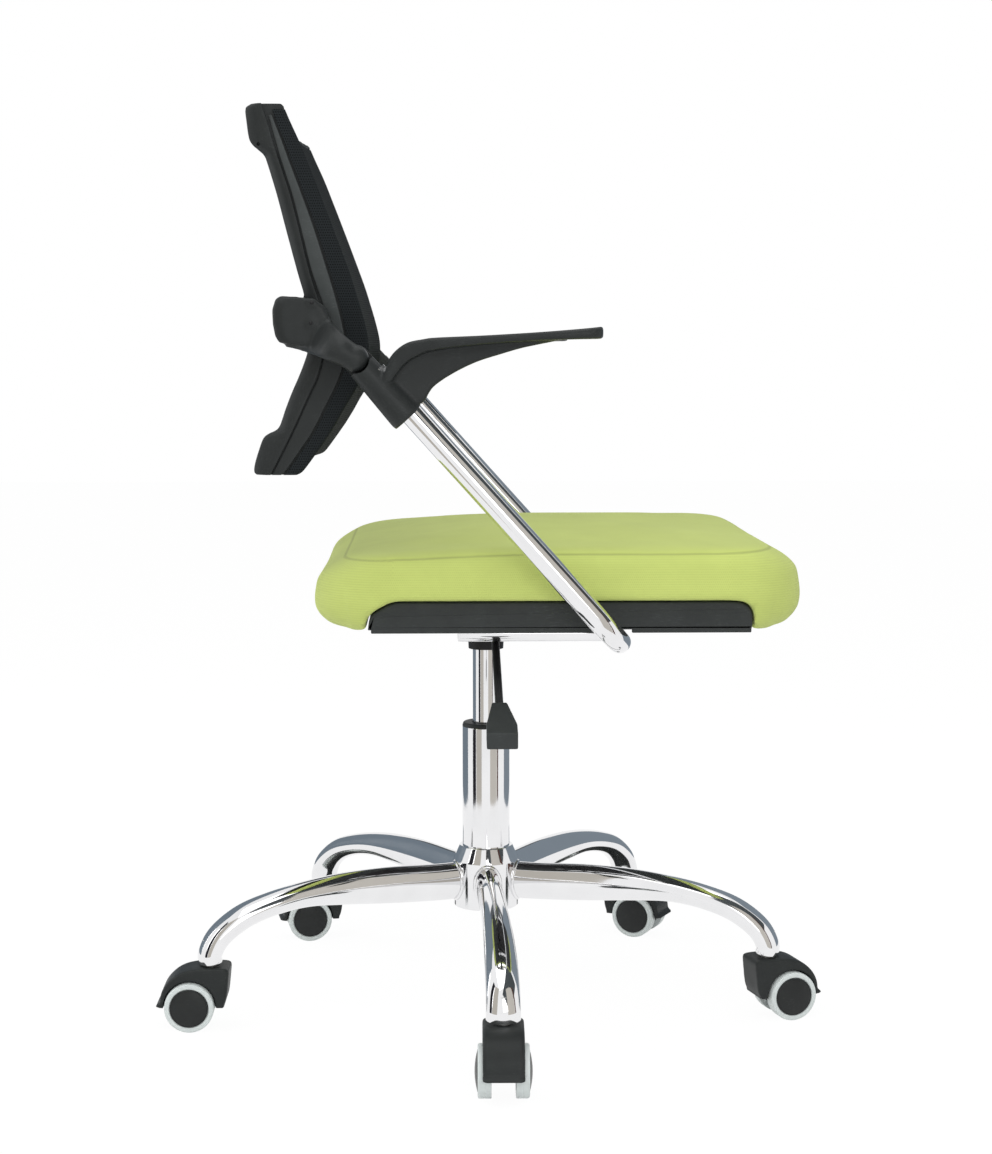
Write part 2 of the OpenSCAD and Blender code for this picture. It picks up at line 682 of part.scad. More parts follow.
// Yoke: cross bar behind the back, a head at each side and necks to the pivots
head_shares = [
    [0.00, 0.14], [0.07, 0.00], [0.60, -0.08], [0.90, 0.08], [1.00, 0.45], [0.86, 0.80],
    [0.64, 0.95], [0.10, 1.00], [0.01, 0.93], [-0.05, 0.70], [-0.04, 0.40]];
head_x = back_front - back_lean * 0.78;
head_l = yoke_h * 1.21;
neck_shares = [
    [0.00, 0.00, 0.00, 0.00], [0.12, 0.12, 0.02, 0.00], [0.24, 0.25, 0.14, 0.00], [0.38, 0.42, 0.35, 0.20],
    [0.55, 0.62, 0.65, 0.75], [0.70, 0.78, 0.86, 1.00], [0.90, 0.90, 0.96, 1.00]];
yoke_z = pivot[2] + yoke_h * 0.34;
head_y = back_w / 2 + seat_gap * 2;
head_w = neck_w * 1.3;
function neck_ring(s) =
    let (run = pivot[0] - head_x - yoke_t * 0.4,
         x = pivot[0] - run * s[0], z = pivot[2] + yoke_h * 0.82 * s[1],
         y = frame_y - (frame_y - head_y - barrel_r - pass_gap * 2) * s[3],
         a = barrel_r + (yoke_h * 0.52 - barrel_r) * s[2], b = barrel_r,
         tilt = 135 + 30 * s[0])
    [for (j = [0 : hull_fn - 1])
        let (t = 360 * j / hull_fn, u = a * sin(t), v = b * cos(t))
        [x - u * sin(tilt), y + v, z + u * cos(tilt)]];
module barrel() {
    crown = [[0.30, 1.00], [0.62, 0.88], [0.84, 0.64], [0.96, 0.34]];
    translate([0, barrel_r * (crown[0][0] - 1) / 2, 0]) cross_rod(barrel_r, barrel_r * (1 + crown[0][0]));
    for (i = [0 : 2]) translate([0, barrel_r * crown[i][0], 0]) rotate([-90, 0, 0])
        cylinder(barrel_r * (crown[i + 1][0] - crown[i][0]), barrel_r * crown[i][1], barrel_r * crown[i + 1][1]);
}
module back_yoke() {
    color("dimgray") difference() {
        union() {
            both_sides() {
                loft([for (s = smooth_rows(neck_shares, 2)) neck_ring(s)]);
                translate([pivot[0], frame_y, pivot[2]]) barrel();
                translate([0, head_y + head_w / 2, 0])
                    slab(placed(head_shares, [head_x, yoke_z], [head_l, yoke_h]), head_w);
            }
            translate([head_x, 0, yoke_z + yoke_h / 2]) slab([
                [0, -yoke_h * 0.38], [yoke_t * 0.2, -yoke_h / 2], [yoke_t, -yoke_h / 2],
                [yoke_t, yoke_h / 2], [yoke_t * 0.15, yoke_h / 2], [0, yoke_h * 0.4]],
                2 * (head_y + fit_gap));
        }
        both_sides() {
            translate([pivot[0], frame_y + neck_w * 0.3 - pad_w / 2, pivot[2]])
                cross_rod(pivot_d / 2 + fit_gap, pad_w);
            back_screw_places(fit_gap);
        }
    }
}
// Screws from the yoke's heads into the back frame's ears
back_screw_d = screw_d * 5 / 6;
ear_z = yoke_z - yoke_h * 0.02;
ear_x = head_x + yoke_t + pass_gap * 4;
ear_l = head_l * 0.577;
module back_screw_places(grow) {
    for (z = [0.42, 0.85]) translate([ear_x + ear_l * (0.3 + 0.1 * z), head_y, yoke_z + yoke_h * z]) {
        translate([0, head_w * 0.3, 0]) cross_rod(back_screw_d / 2 + grow, head_w * 1.4 + grow);
        translate([0, head_w, 0]) cross_rod(back_screw_d * 0.6 + grow, back_screw_d * 0.5 + grow * 2);
    }
}
module back_screws() {
    color("silver") both_sides() back_screw_places(0);
}

// Side outline of the back: height share, front share of the lean, rear share of the lean,
// and depth of the mesh cover's side as a share of its named depth
back_shares = [
    [0.000, 0.640, 0.950, 0.85], [0.008, 0.600, 0.968, 0.95], [0.030, 0.550, 0.962, 0.97],
    [0.068, 0.474, 0.930, 1.00], [0.100, 0.412, 0.895, 1.00], [0.114, 0.387, 0.845, 1.00],
    [0.124, 0.370, 0.785, 1.02], [0.147, 0.331, 0.757, 1.05], [0.181, 0.279, 0.725, 1.10],
    [0.226, 0.203, 0.676, 1.18], [0.270, 0.140, 0.622, 1.25], [0.315, 0.100, 0.574, 1.30],
    [0.350, 0.092, 0.548, 1.32], [0.386, 0.103, 0.546, 1.30], [0.438, 0.138, 0.560, 1.26],
    [0.490, 0.180, 0.580, 1.22], [0.548, 0.230, 0.625, 1.20], [0.663, 0.346, 0.708, 1.05],
    [0.761, 0.448, 0.777, 1.00], [0.852, 0.545, 0.852, 0.97], [0.868, 0.562, 0.874, 0.96],
    [0.880, 0.576, 0.915, 0.95], [0.893, 0.591, 0.955, 0.93], [0.912, 0.614, 0.980, 0.90],
    [0.955, 0.668, 0.996, 0.84], [0.978, 0.695, 1.003, 0.80], [0.984, 0.702, 1.002, 0.78]];
// Lip of the frame over the mesh cover's top edge
top_lip_shares = [[0.9843, 0.702, 1.002], [0.992, 0.711, 0.996], [1.000, 0.730, 0.962]];
lip_joint_share = [0.990, 0.724, 0.976, 0.70];
back_columns = 12;
function back_y(k, half) = half * (2 * k / back_columns - 1);
function bowed(y) = back_bow * (1 - pow(2 * y / back_w, 2));
function front_x(s, y, inset) = back_front - back_lean * s[1] - inset - bowed(y);
function rear_x(s, y) = back_front - back_lean * s[2];
function row_z(s) = back_z + back_h * s[0];
function plain_ring(s, half) = concat(
    [for (k = [0 : back_columns]) let (y = back_y(k, half)) [front_x(s, y, 0), y, row_z(s)]],
    [for (k = [back_columns : -1 : 0]) let (y = back_y(k, half)) [rear_x(s, y), y, row_z(s)]]);
// Depth of the mesh cover's side at a row
function side_depth(s) = mesh_side * s[3];
function frame_ring(s) =
    let (half = back_w / 2, inner = half - mesh_t - seat_gap, step = side_depth(s) + seat_gap,
         rim = (half + inner) / 2, rear = inner - mesh_t)
    concat(
        [for (y = [-half, -inner]) [front_x(s, half, step), y, row_z(s)]],
        [for (k = [0 : back_columns]) let (y = back_y(k, inner))
            [front_x(s, y, mesh_t + seat_gap), y, row_z(s)]],
        [for (y = [inner, half]) [front_x(s, half, step), y, row_z(s)]],
        [for (y = [half, rim, for (k = [back_columns : -1 : 0]) back_y(k, rear), -rim, -half])
            [rear_x(s, y), y, row_z(s)]]);
function mesh_ring(s) =
    let (half = back_w / 2, inner = half - mesh_t, deep = side_depth(s))
    concat(
        [[front_x(s, half, deep), -half, row_z(s)]],
        [for (k = [0 : back_columns]) let (y = back_y(k, half)) [front_x(s, y, 0), y, row_z(s)]],
        [[front_x(s, half, deep), half, row_z(s)], [front_x(s, half, deep), inner, row_z(s)]],
        [for (k = [back_columns : -1 : 0]) let (y = back_y(k, inner))
            [front_x(s, y, mesh_t), y, row_z(s)]],
        [[front_x(s, half, deep), -inner, row_z(s)]]);
module back_window() {
    w = back_w - 2 * back_rail_w;
    low = back_z + back_rail_w * 1.3;
    high = back_z + back_h * 0.90;
    r = back_rail_w;
    rotate([90, 0, 90]) linear_extrude(back_lean * 6, center = true) {
        translate([-w / 2, low + r]) square([w, high - low - 2 * r]);
        translate([-w / 2 + r, low]) square([w - 2 * r, high - low]);
        for (side = [-1, 1], z = [low + r, high - r]) translate([side * (w / 2 - r), z]) circle(r);
    }
}
module back_frame() {
    color("dimgray") difference() {
        union() {
            strip_loft([for (s = concat(back_shares, [lip_joint_share])) frame_ring(s)]);
            strip_loft([for (s = top_lip_shares) plain_ring(s, back_w / 2)]);
            for (side = [-1, 1]) translate([ear_x, side * (back_w / 2 - back_rail_w / 2) - back_rail_w / 2, ear_z])
                cube([ear_l, back_rail_w, yoke_h * 0.98]);
        }
        back_window();
        both_sides() back_screw_places(fit_gap);
    }
}
module back_mesh() {
    color("black") strip_loft([for (s = back_shares) mesh_ring(s)]);
}

// Height lever
module lever_rod() {
    blade_w = lever_d;
    blade_t = lever_d * 0.3;
    blade_z = spring_top_z + pin_proud + seat_gap * 1.5;
    rod_l = (paddle_y + paddle_l * 0.35 - lever_pivot_y) / cos(lever_slope);
    color("dimgray") {
        translate([lever_x, -lever_pivot_y, lever_pivot_z]) {
            rotate([0, 90, 0]) cylinder(lever_d, lever_d * 0.75, lever_d * 0.75, center = true);
            rotate([0, 90, 0]) cylinder(lever_d * 2.2, lever_d * 0.3, lever_d * 0.3, center = true);
            rotate([90 + lever_slope, 0, 0]) cylinder(rod_l, lever_d / 2, lever_d / 2);
        }
        translate([lever_x - blade_w / 2, -lever_pivot_y, blade_z]) cube([blade_w, lever_pivot_y, blade_t]);
        translate([lever_x - blade_w * 1.4, -blade_w * 0.7, blade_z])
            cube([blade_w * 1.4 + blade_w / 2, blade_w * 0.7, blade_t]);
    }
}
module lever_paddle() {
    slope = -tan(lever_slope);
    root_z = lever_pivot_z + slope * (paddle_y - lever_pivot_y);
    thick = lever_d * 1.5;
    lip = lever_d * 1.9;
    edge = lever_d / 8;
    color("dimgray") difference() {
        hull() {
            translate([lever_x - lever_d * 0.9, -paddle_y, root_z - thick / 2])
                cube([lever_d * 1.8, edge, thick]);
            translate([lever_x - paddle_w * 0.46, -paddle_y - paddle_l, root_z + slope * paddle_l * 1.2 - lip / 2])
                cube([paddle_w, edge * 2, lip]);
            translate([lever_x - paddle_w * 0.46, -paddle_y - paddle_l * 0.7, root_z + slope * paddle_l * 0.9 - lip / 2])
                cube([paddle_w, edge * 2, lip]);
        }
        translate([lever_x, -lever_pivot_y, lever_pivot_z]) rotate([90 + lever_slope, 0, 0])
            cylinder((paddle_y + paddle_l * 0.35 - lever_pivot_y) / cos(lever_slope) + seat_gap,
                lever_d / 2 + fit_gap, lever_d / 2 + fit_gap);
    }
}

// Casters
hood_shares = [
    [1.00, 0.00], [1.00, 0.17], [0.97, 0.37], [0.90, 0.56], [0.80, 0.72], [0.64, 0.86],
    [0.46, 0.95], [0.24, 1.00], [-0.28, 1.00], [-0.37, 0.975], [-0.402, 0.92], [-0.39, 0.70],
    [-0.36, 0.35], [-0.33, 0.17], [-0.29, 0.06], [-0.21, 0.00]];
module in_caster(n) {
    rotate([0, 0, leg_angle(n)]) translate([base_r, 0, 0])
        rotate([0, 0, caster_turns[n - 1] - leg_angle(n)]) children();
}
module caster_hood(n) {
    reach = trail + wheel_well + hood_skin;
    outline = placed(hood_shares, [0, hood_low_z], [reach, hood_top_z - hood_low_z]);
    color("dimgray") in_caster(n) difference() {
        slab(outline, hood_w);
        both_sides() translate([trail, web_w / 2 + hood_w, wheel_r]) cross_rod(wheel_well, hood_w * 2);
        translate([0, 0, stem_low_z - seat_gap])
            cylinder(hood_top_z, stem_d / 2 + fit_gap, stem_d / 2 + fit_gap);
        translate([trail, 0, wheel_r]) cross_rod(axle_d / 2 + fit_gap, hood_w);
        translate([trail, -hood_w, 0]) cube([reach, hood_w * 2, hood_low_z + over / 4]);
    }
}
module caster_axle(n) {
    color("silver") in_caster(n) translate([trail, 0, wheel_r])
        cross_rod(axle_d / 2, 2 * (tyre_out - tyre_w * 0.25));
}
module caster_tyre(n, side) {
    color("whitesmoke") in_caster(n) translate([trail, side * tyre_in, wheel_r]) rotate([side * -90, 0, 0])
        rotate_extrude() polygon([
            [core_d / 2 + fit_gap, 0], [wheel_r, 0], [wheel_r, tyre_w - tyre_round],
            [wheel_r - tyre_round * 0.12, tyre_w - tyre_round * 0.55],
            [wheel_r - tyre_round * 0.42, tyre_w - tyre_round * 0.15],
            [wheel_r - tyre_round, tyre_w], [core_d / 2 + fit_gap, tyre_w]]);
}
module caster_core(n, side) {
    dome_r = (pow(core_d / 2, 2) + pow(cap_bulge, 2)) / (2 * cap_bulge);
    color("dimgray") in_caster(n) translate([trail, side * tyre_in, wheel_r]) rotate([side * -90, 0, 0])
        difference() {
            union() {
                cylinder(tyre_w, core_d / 2, core_d / 2);
                rotate_extrude() intersection() {
                    translate([0, tyre_w + cap_bulge - dome_r]) circle(dome_r, $fn = 200);
                    translate([0, tyre_w - over]) square([core_d / 2, cap_bulge + over]);
                }
            }
            translate([0, 0, -over]) cylinder(tyre_w * 0.75 + over + seat_gap,
                axle_d / 2 + fit_gap, axle_d / 2 + fit_gap);
        }
}

base_hub();
for (n = leg_numbers) base_leg(n);
leg_sockets();
caster_stems();
column_tube();
guide_bush();
piston_rod();
thrust_bearing();
pressure_tube();
seat_plate();
seat_rails();
frame_tube();
seat_screws();
seat_shell();
seat_board();
seat_cushion();
color("dimgray") armrest();  // armrest_left
color("dimgray") mirror([0, 1, 0]) armrest();  // armrest_right
pivot_pins();
back_yoke();
back_frame();
back_mesh();
back_screws();
lever_rod();
lever_paddle();
release_pin();
for (n = leg_numbers) {
    caster_hood(n);
    caster_axle(n);
    caster_tyre(n, 1);
    caster_tyre(n, -1);
    caster_core(n, 1);
    caster_core(n, -1);
}
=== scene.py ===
# Task chair with a sprung mesh back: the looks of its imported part, laid out as a Blender add-on
# Metres. +X is forward, +Y is the sitter's left, +Z is up, floor at zero
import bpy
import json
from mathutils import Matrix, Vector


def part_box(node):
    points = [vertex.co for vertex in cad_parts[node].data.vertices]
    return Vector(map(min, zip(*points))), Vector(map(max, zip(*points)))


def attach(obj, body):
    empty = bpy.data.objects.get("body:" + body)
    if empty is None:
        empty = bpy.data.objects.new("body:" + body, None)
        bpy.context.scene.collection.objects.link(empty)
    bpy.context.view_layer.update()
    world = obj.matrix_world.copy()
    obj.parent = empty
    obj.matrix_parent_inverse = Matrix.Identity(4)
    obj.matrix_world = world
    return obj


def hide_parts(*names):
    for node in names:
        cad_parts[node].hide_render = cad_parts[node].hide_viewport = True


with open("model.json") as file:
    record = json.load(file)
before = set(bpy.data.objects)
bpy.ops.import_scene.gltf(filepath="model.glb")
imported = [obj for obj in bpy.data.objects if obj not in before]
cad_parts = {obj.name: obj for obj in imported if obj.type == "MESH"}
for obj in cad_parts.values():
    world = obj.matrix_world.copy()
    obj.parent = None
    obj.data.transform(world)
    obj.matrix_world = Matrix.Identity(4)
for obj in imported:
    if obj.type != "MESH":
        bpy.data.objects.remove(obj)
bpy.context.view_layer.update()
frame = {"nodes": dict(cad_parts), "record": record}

import json
import math
from functools import cache

import bmesh
import bpy
import numpy as np
from bpy.props import FloatProperty, FloatVectorProperty, PointerProperty
from mathutils import Matrix, Vector

bl_info = {
    "name": "Task chair dresser",
    "version": (1, 0, 0),
    "blender": (4, 5, 0),
    "location": "View3D > Sidebar > Chair",
    "description": "Builds the detailed looks of a task chair around its packed solids",
    "category": "Object",
}

JOINTS = {j["name"]: j for j in frame["record"]["behaviour"]["joints"]}
PIVOT = Vector(JOINTS["back_recline"]["pos_m"])
CASTERS = range(1, 6)
SIDES = (("left", 1), ("right", -1))
HALF_TURN = math.pi
QUARTER = math.pi / 2
# Lays the axis of a turned shape along Y
ALONG_Y = Matrix.Rotation(-QUARTER, 4, "X")


def length(name, default, text, low=0.0):
    return FloatProperty(name=name, default=default, description=text, min=low, max=2.0,
                         subtype="DISTANCE", unit="LENGTH", precision=4)


def colour(name, default, text):
    return FloatVectorProperty(name=name, default=default, description=text, min=0.0, max=1.0,
                               subtype="COLOR", size=3)


class BaseSizes(bpy.types.PropertyGroup):
    hub_diameter: length("Hub diameter", 0.069, "Diameter of the steel hub")
    hub_low: length("Hub underside", 0.099, "Height of the hub's lower edge")
    hub_height: length("Hub height", 0.050, "Height of the hub's cylinder")
    shoulder: length("Shoulder", 0.015, "Height of the hub's sloped shoulder")
    leg_reach: length("Leg reach", 0.300, "Distance from the column to a caster stem")
    leg_root_height: length("Leg root height", 0.039, "Height of a leg at the hub")
    leg_root_width: length("Leg root width", 0.027, "Width of a leg at the hub")
    leg_root_level: length("Leg root level", 0.127, "Height of a leg's centre line at the hub")
    leg_end_length: length("Leg end length", 0.024, "Length of a leg's section at its end")
    leg_end_width: length("Leg end width", 0.033, "Width of a leg's section at its end")
    leg_end_level: length("Leg end level", 0.067, "Height of a leg's end above the floor")
    weld: length("Weld", 0.0019, "Radius of the weld bead round a leg")


class ColumnSizes(bpy.types.PropertyGroup):
    column_diameter: length("Column diameter", 0.050, "Diameter of the outer column")
    column_low: length("Column underside", 0.103, "Height of the column's lower end")
    column_top: length("Column top", 0.291, "Height of the column's upper end")
    rim: length("Bush rim", 0.004, "Height of the guide bush's rim")
    tube_diameter: length("Gas tube diameter", 0.028, "Diameter of the gas spring's tube")
    tube_low: length("Gas tube underside", 0.203, "Height of the gas tube's lower end")
    tube_top: length("Gas tube top", 0.409, "Height of the gas tube's upper end")


class CasterSizes(bpy.types.PropertyGroup):
    wheel_diameter: length("Wheel diameter", 0.050, "Diameter of a wheel")
    tyre_width: length("Tyre width", 0.0127, "Width of one tyre")
    wheel_gap: length("Wheel gap", 0.0226, "Gap between the two wheels")
    core_diameter: length("Core diameter", 0.0386, "Diameter of a wheel's black centre")
    dome: length("Dome", 0.0028, "Height of the dome on a wheel's centre")
    trail: length("Trail", 0.020, "Distance from the swivel axis to the axle")
    hood_width: length("Hood width", 0.039, "Width of the hood")
    hood_top: length("Hood top", 0.064, "Height of the hood's top")
    hood_low: length("Hood underside", 0.023, "Height of the hood's lower edge")
    hood_edge: length("Hood edge", 0.0035, "Rounding of the hood's edges")


class SeatSizes(bpy.types.PropertyGroup):
    depth: length("Cushion depth", 0.4736, "Depth of the cushion, front to rear")
    width: length("Cushion width", 0.480, "Width of the cushion")
    height: length("Cushion height", 0.0784, "Height of the cushion at its edge")
    crown: length("Cushion crown", 0.012, "Rise of the cushion's middle")
    corner: length("Cushion corner", 0.078, "Radius of the cushion's corners in plan")
    middle: length("Cushion middle", 0.066, "Middle of the cushion, forward of the column")
    low: length("Cushion low", 0.003, "How far the cushion's ends reach below the tray")
    level: length("Seat level", 0.4216, "Height of the tray's underside")
    swell: length("Swell", 0.0022, "Most that the cloth may move as it fills")
    voxel: length("Cushion voxel", 0.0048, "Mesh size of the cushion before its cloth simulation")
    seam_depth: length("Seam depth", 0.0008, "How deep the cushion's sewn edge is drawn in")
    seam_width: length("Seam width", 0.0030, "How wide the cushion's sewn edge is drawn in")
    tray_rear: length("Tray rear", 0.1166, "Rear end of the tray, behind the column")
    tray_front: length("Tray front", 0.247, "Front end of the tray")
    tray_height: length("Tray height", 0.0268, "Height of the tray")
    tray_round: length("Tray rounding", 0.0992, "Length of the rounding at the tray's rear end")
    tray_width: length("Tray width", 0.454, "Width of the tray")


class TubeSizes(bpy.types.PropertyGroup):
    diameter: length("Tube diameter", 0.022, "Diameter of the frame tube")
    half_width: length("Arm distance", 0.262, "Distance of the tube's arms from the middle")
    cross_x: length("Cross tube place", 0.121, "Forward place of the cross tube")
    cross_z: length("Cross tube height", 0.41035, "Height of the cross tube's centre")
    slope: FloatProperty(name="Arm slope", default=math.radians(48), subtype="ANGLE",
                         description="Slope of the tube's arms")
    bend: length("Bend radius", 0.036, "Bend radius of the tube")
    arm: length("Arm length", 0.34175, "Length of an arm from the cross tube to its end")


class ArmSizes(bpy.types.PropertyGroup):
    pad_width: length("Pad width", 0.050, "Width of an armrest's pad")
    pad_length: length("Pad length", 0.202, "Length of an armrest's pad")
    tip_x: length("Tip place", 0.1007, "Front tip of the armrest")
    tip_z: length("Tip height", 0.7065, "Height of the armrest's top at the tip")
    gusset: length("Gusset thickness", 0.015, "Thickness of the gusset")
    sleeve_low: length("Sleeve lower diameter", 0.032, "Diameter of the sleeve at its lower end")
    sleeve_top: length("Sleeve upper diameter", 0.026, "Diameter of the sleeve at the pivot")
    sleeve_length: length("Sleeve length", 0.072, "Length of the sleeve")
    neck_width: length("Neck width", 0.025, "Width of a neck of the yoke at the pivot")


class BackSizes(bpy.types.PropertyGroup):
    low: length("Back underside", 0.5675, "Height of the back's lower edge")
    height: length("Back height", 0.3445, "Height of the back")
    width: length("Back width", 0.420, "Width of the back")
    front: length("Back front", -0.1025, "Forward place of the back's foremost line", -1.0)
    lean: length("Lean", 0.125, "Depth that the back's outline leans through")
    bow: length("Bow", 0.012, "Bow of the back across its width")
    mesh_side: length("Mesh side", 0.0155, "Depth of the mesh cover's sides")
    mesh_thickness: length("Mesh thickness", 0.0024, "Thickness of the mesh cover")
    groove: length("Groove", 0.0024, "Width of the groove beside the mesh cover")


class YokeSizes(bpy.types.PropertyGroup):
    head_x: length("Head place", -0.200, "Rear end of a head of the yoke", -1.0)
    head_low: length("Head underside", 0.6914, "Height of a head's lower edge")
    head_length: length("Head length", 0.052, "Length of a head, front to rear")
    head_height: length("Head height", 0.043, "Height of a head")
    head_inner: length("Head inner face", 0.2104, "Distance of a head's inner face from the middle")
    head_width: length("Head width", 0.0325, "Width of a head")
    chamfer: length("Chamfer", 0.005, "Width of the chamfer along a head's rear edge")
    screw: length("Screw head", 0.0017, "Radius of the small screw heads in a head's face")


class Finishes(bpy.types.PropertyGroup):
    cloth: colour("Seat cloth", (0.62, 0.72, 0.20), "Colour of the seat's cloth")
    moulding: colour("Moulding", (0.027, 0.030, 0.030), "Colour of the black mouldings")
    tray: colour("Tray", (0.038, 0.042, 0.042), "Colour of the seat's tray")
    tyre: colour("Tyre", (0.80, 0.86, 0.85), "Colour of the tyres")
    chrome: colour("Chrome", (0.84, 0.84, 0.85), "Colour of the chrome plating")
    mesh_cloth: colour("Mesh cloth", (0.012, 0.014, 0.015), "Colour of the back's mesh")


GROUPS = {"chair_base": BaseSizes, "chair_column": ColumnSizes, "chair_casters": CasterSizes,
          "chair_seat": SeatSizes, "chair_tube": TubeSizes, "chair_arms": ArmSizes,
          "chair_back": BackSizes, "chair_yoke": YokeSizes, "chair_finishes": Finishes}


# Curves and plain shapes

def curve_between(a, b, c, d, steps):
    """Points on a smooth curve from b towards c, with a before them and d after them."""
    for k in range(steps):
        t = k / steps
        yield 0.5 * (2 * b + (c - a) * t + (2 * a - 5 * b + 4 * c - d) * t * t
                     + (3 * b - a - 3 * c + d) * t ** 3)


def smooth_rows(rows, steps):
    """Rows of numbers along a smooth curve through the given rows."""
    rows = [np.array(r, float) for r in rows]
    last = len(rows) - 1
    out = []
    for i in range(last):
        out += curve_between(rows[max(0, i - 1)], rows[i], rows[i + 1], rows[min(last, i + 2)], steps)
    return out + [rows[-1]]


def smooth_loop(points, steps):
    """Points along a smooth closed curve through the given points."""
    pts = [np.array(p, float) for p in points]
    n = len(pts)
    out = []
    for i in range(n):
        out += curve_between(pts[i - 1], pts[i], pts[(i + 1) % n], pts[(i + 2) % n], steps)
    return out


def rounded_corners(points, radius, steps=5, closed=False):
    """A polyline with its corners rounded off; radius is one number or one for each point."""
    pts = [np.array(p, float) for p in points]
    n = len(pts)
    radii = radius if isinstance(radius, (list, tuple)) else [radius] * n
    out = []
    for i, p in enumerate(pts):
        if not closed and i in (0, n - 1):
            out.append(p)
            continue
        a, b = pts[i - 1] - p, pts[(i + 1) % n] - p
        la, lb = np.linalg.norm(a), np.linalg.norm(b)
        d = min(radii[i], la * 0.48, lb * 0.48)
        if d < 1e-6:
            out.append(p)
            continue
        s, e = p + a / la * d, p + b / lb * d
        for k in range(steps + 1):
            t = k / steps
            out.append((1 - t) ** 2 * s + 2 * t * (1 - t) * p + t * t * e)
    return out


def mesh_of(name, verts, faces, edges=()):
    mesh = bpy.data.meshes.new(name)
    mesh.from_pydata([tuple(float(c) for c in v) for v in verts], list(edges), faces)
    return mesh


def closed_up(mesh):
    """Merges doubles and turns every face outwards."""
    bm = bmesh.new()
    bm.from_mesh(mesh)
    bmesh.ops.remove_doubles(bm, verts=bm.verts, dist=1e-6)
    bmesh.ops.recalc_face_normals(bm, faces=bm.faces)
    bm.to_mesh(mesh)
    bm.free()
    return mesh


def bridges(n, spans, count):
    """Faces from each ring of n points to the next, among count rings."""
    return [(i * n + j, i * n + (j + 1) % n, (i + 1) % count * n + (j + 1) % n, (i + 1) % count * n + j)
            for i in range(spans) for j in range(n)]


def skin(name, rings, loop=False):
    """A closed skin over rings of points, which all have the same count."""
    n, count = len(rings[0]), len(rings)
    faces = bridges(n, count if loop else count - 1, count)
    if not loop:
        faces += [tuple(range(n))[::-1], tuple(range((count - 1) * n, count * n))]
    return closed_up(mesh_of(name, [p for ring in rings for p in ring], faces))


def turned(name, profile, sides=96, loop=False):
    """A profile of (radius, height) turned about Z; ends on the axis close to a point."""
    verts, rings = [], []
    for r, h in profile:
        if r < 1e-7:
            rings.append([len(verts)])
            verts.append((0.0, 0.0, h))
            continue
        rings.append(list(range(len(verts), len(verts) + sides)))
        verts += [(r * math.cos(2 * math.pi * k / sides), r * math.sin(2 * math.pi * k / sides), h)
                  for k in range(sides)]
    pairs = list(zip(rings, rings[1:])) + ([(rings[-1], rings[0])] if loop else [])
    faces = []
    for a, b in pairs:
        for k in range(sides):
            m = (k + 1) % sides
            if len(a) == 1 and len(b) == 1:
                continue
            if len(a) == 1:
                faces.append((a[0], b[k], b[m]))
            elif len(b) == 1:
                faces.append((a[k], b[0], a[m]))
            else:
                faces.append((a[k], b[k], b[m], a[m]))
    return closed_up(mesh_of(name, verts, faces))


def ring_of(name, section, radii, steps, sides):
    """A closed section of (radius, height) with its corners rounded, turned about Z."""
    return turned(name, rounded_corners(section, radii, steps, closed=True), sides, loop=True)


def outward(points):
    """Unit normals of a closed outline of two numbers each, pointing out of it."""
    pts = np.array(points, float)
    along = np.roll(pts, -1, 0) - np.roll(pts, 1, 0)
    along /= np.maximum(np.linalg.norm(along, axis=1), 1e-9)[:, None]
    normals = np.stack([along[:, 1], -along[:, 0]], 1)
    area = np.sum(pts[:, 0] * np.roll(pts[:, 1], -1) - np.roll(pts[:, 0], -1) * pts[:, 1])
    return normals if area > 0 else -normals


def pillow(name, outline, low_y, high_y, edge, steps=4, spans=1):
    """An X-Z outline made thick from low_y to high_y, with its edges rounded."""
    flat = edge + 0.0006
    turns = [QUARTER * k / steps for k in range(steps + 1)]
    rows = [(flat, low_y)] + [(edge * (1 - math.sin(t)), low_y + edge * (1 - math.cos(t))) for t in turns]
    middle = [(0.0, low_y + edge + (high_y - low_y - 2 * edge) * k / spans) for k in range(1, spans)]
    rows = rows + middle + [(inset, low_y + high_y - y) for inset, y in rows[::-1]]
    pairs = list(zip(np.array(outline, float), outward(outline)))
    return skin(name, [[(p[0] - out[0] * inset, y, p[1] - out[1] * inset) for p, out in pairs]
                       for inset, y in rows])


def joined(name, meshes):
    bm = bmesh.new()
    for mesh in meshes:
        bm.from_mesh(mesh)
    out = bpy.data.meshes.new(name)
    bm.to_mesh(out)
    bm.free()
    return out


def moved(mesh, matrix):
    copy = mesh.copy()
    copy.transform(matrix)
    if matrix.determinant() < 0:
        copy.flip_normals()
    return copy


def mirrored(mesh):
    return moved(mesh, Matrix.Scale(-1, 4, Vector((0, 1, 0))))


def node_mesh(node):
    """A merged copy of a CAD node's mesh."""
    return closed_up(frame["nodes"][node].data.copy())


def thing(name, mesh):
    obj = bpy.data.objects.new(name, mesh)
    bpy.context.scene.collection.objects.link(obj)
    return obj


def baked(name, obj):
    """The evaluated mesh of obj, which is then removed."""
    graph = bpy.context.evaluated_depsgraph_get()
    graph.update()
    mesh = bpy.data.meshes.new_from_object(obj.evaluated_get(graph), preserve_all_data_layers=True,
                                           depsgraph=graph)
    mesh.name = name
    bpy.data.objects.remove(obj)
    return mesh


def read(items, field, width=1, kind=float):
    """One field of a mesh's points, corners or faces as an array."""
    values = np.zeros(len(items) * width, kind)
    items.foreach_get(field, values)
    return values.reshape(-1, width) if width > 1 else values


def coordinates(mesh):
    return read(mesh.vertices, "co", 3)


def set_coordinates(mesh, co):
    mesh.vertices.foreach_set("co", co.astype(np.float32).ravel())
    mesh.update()


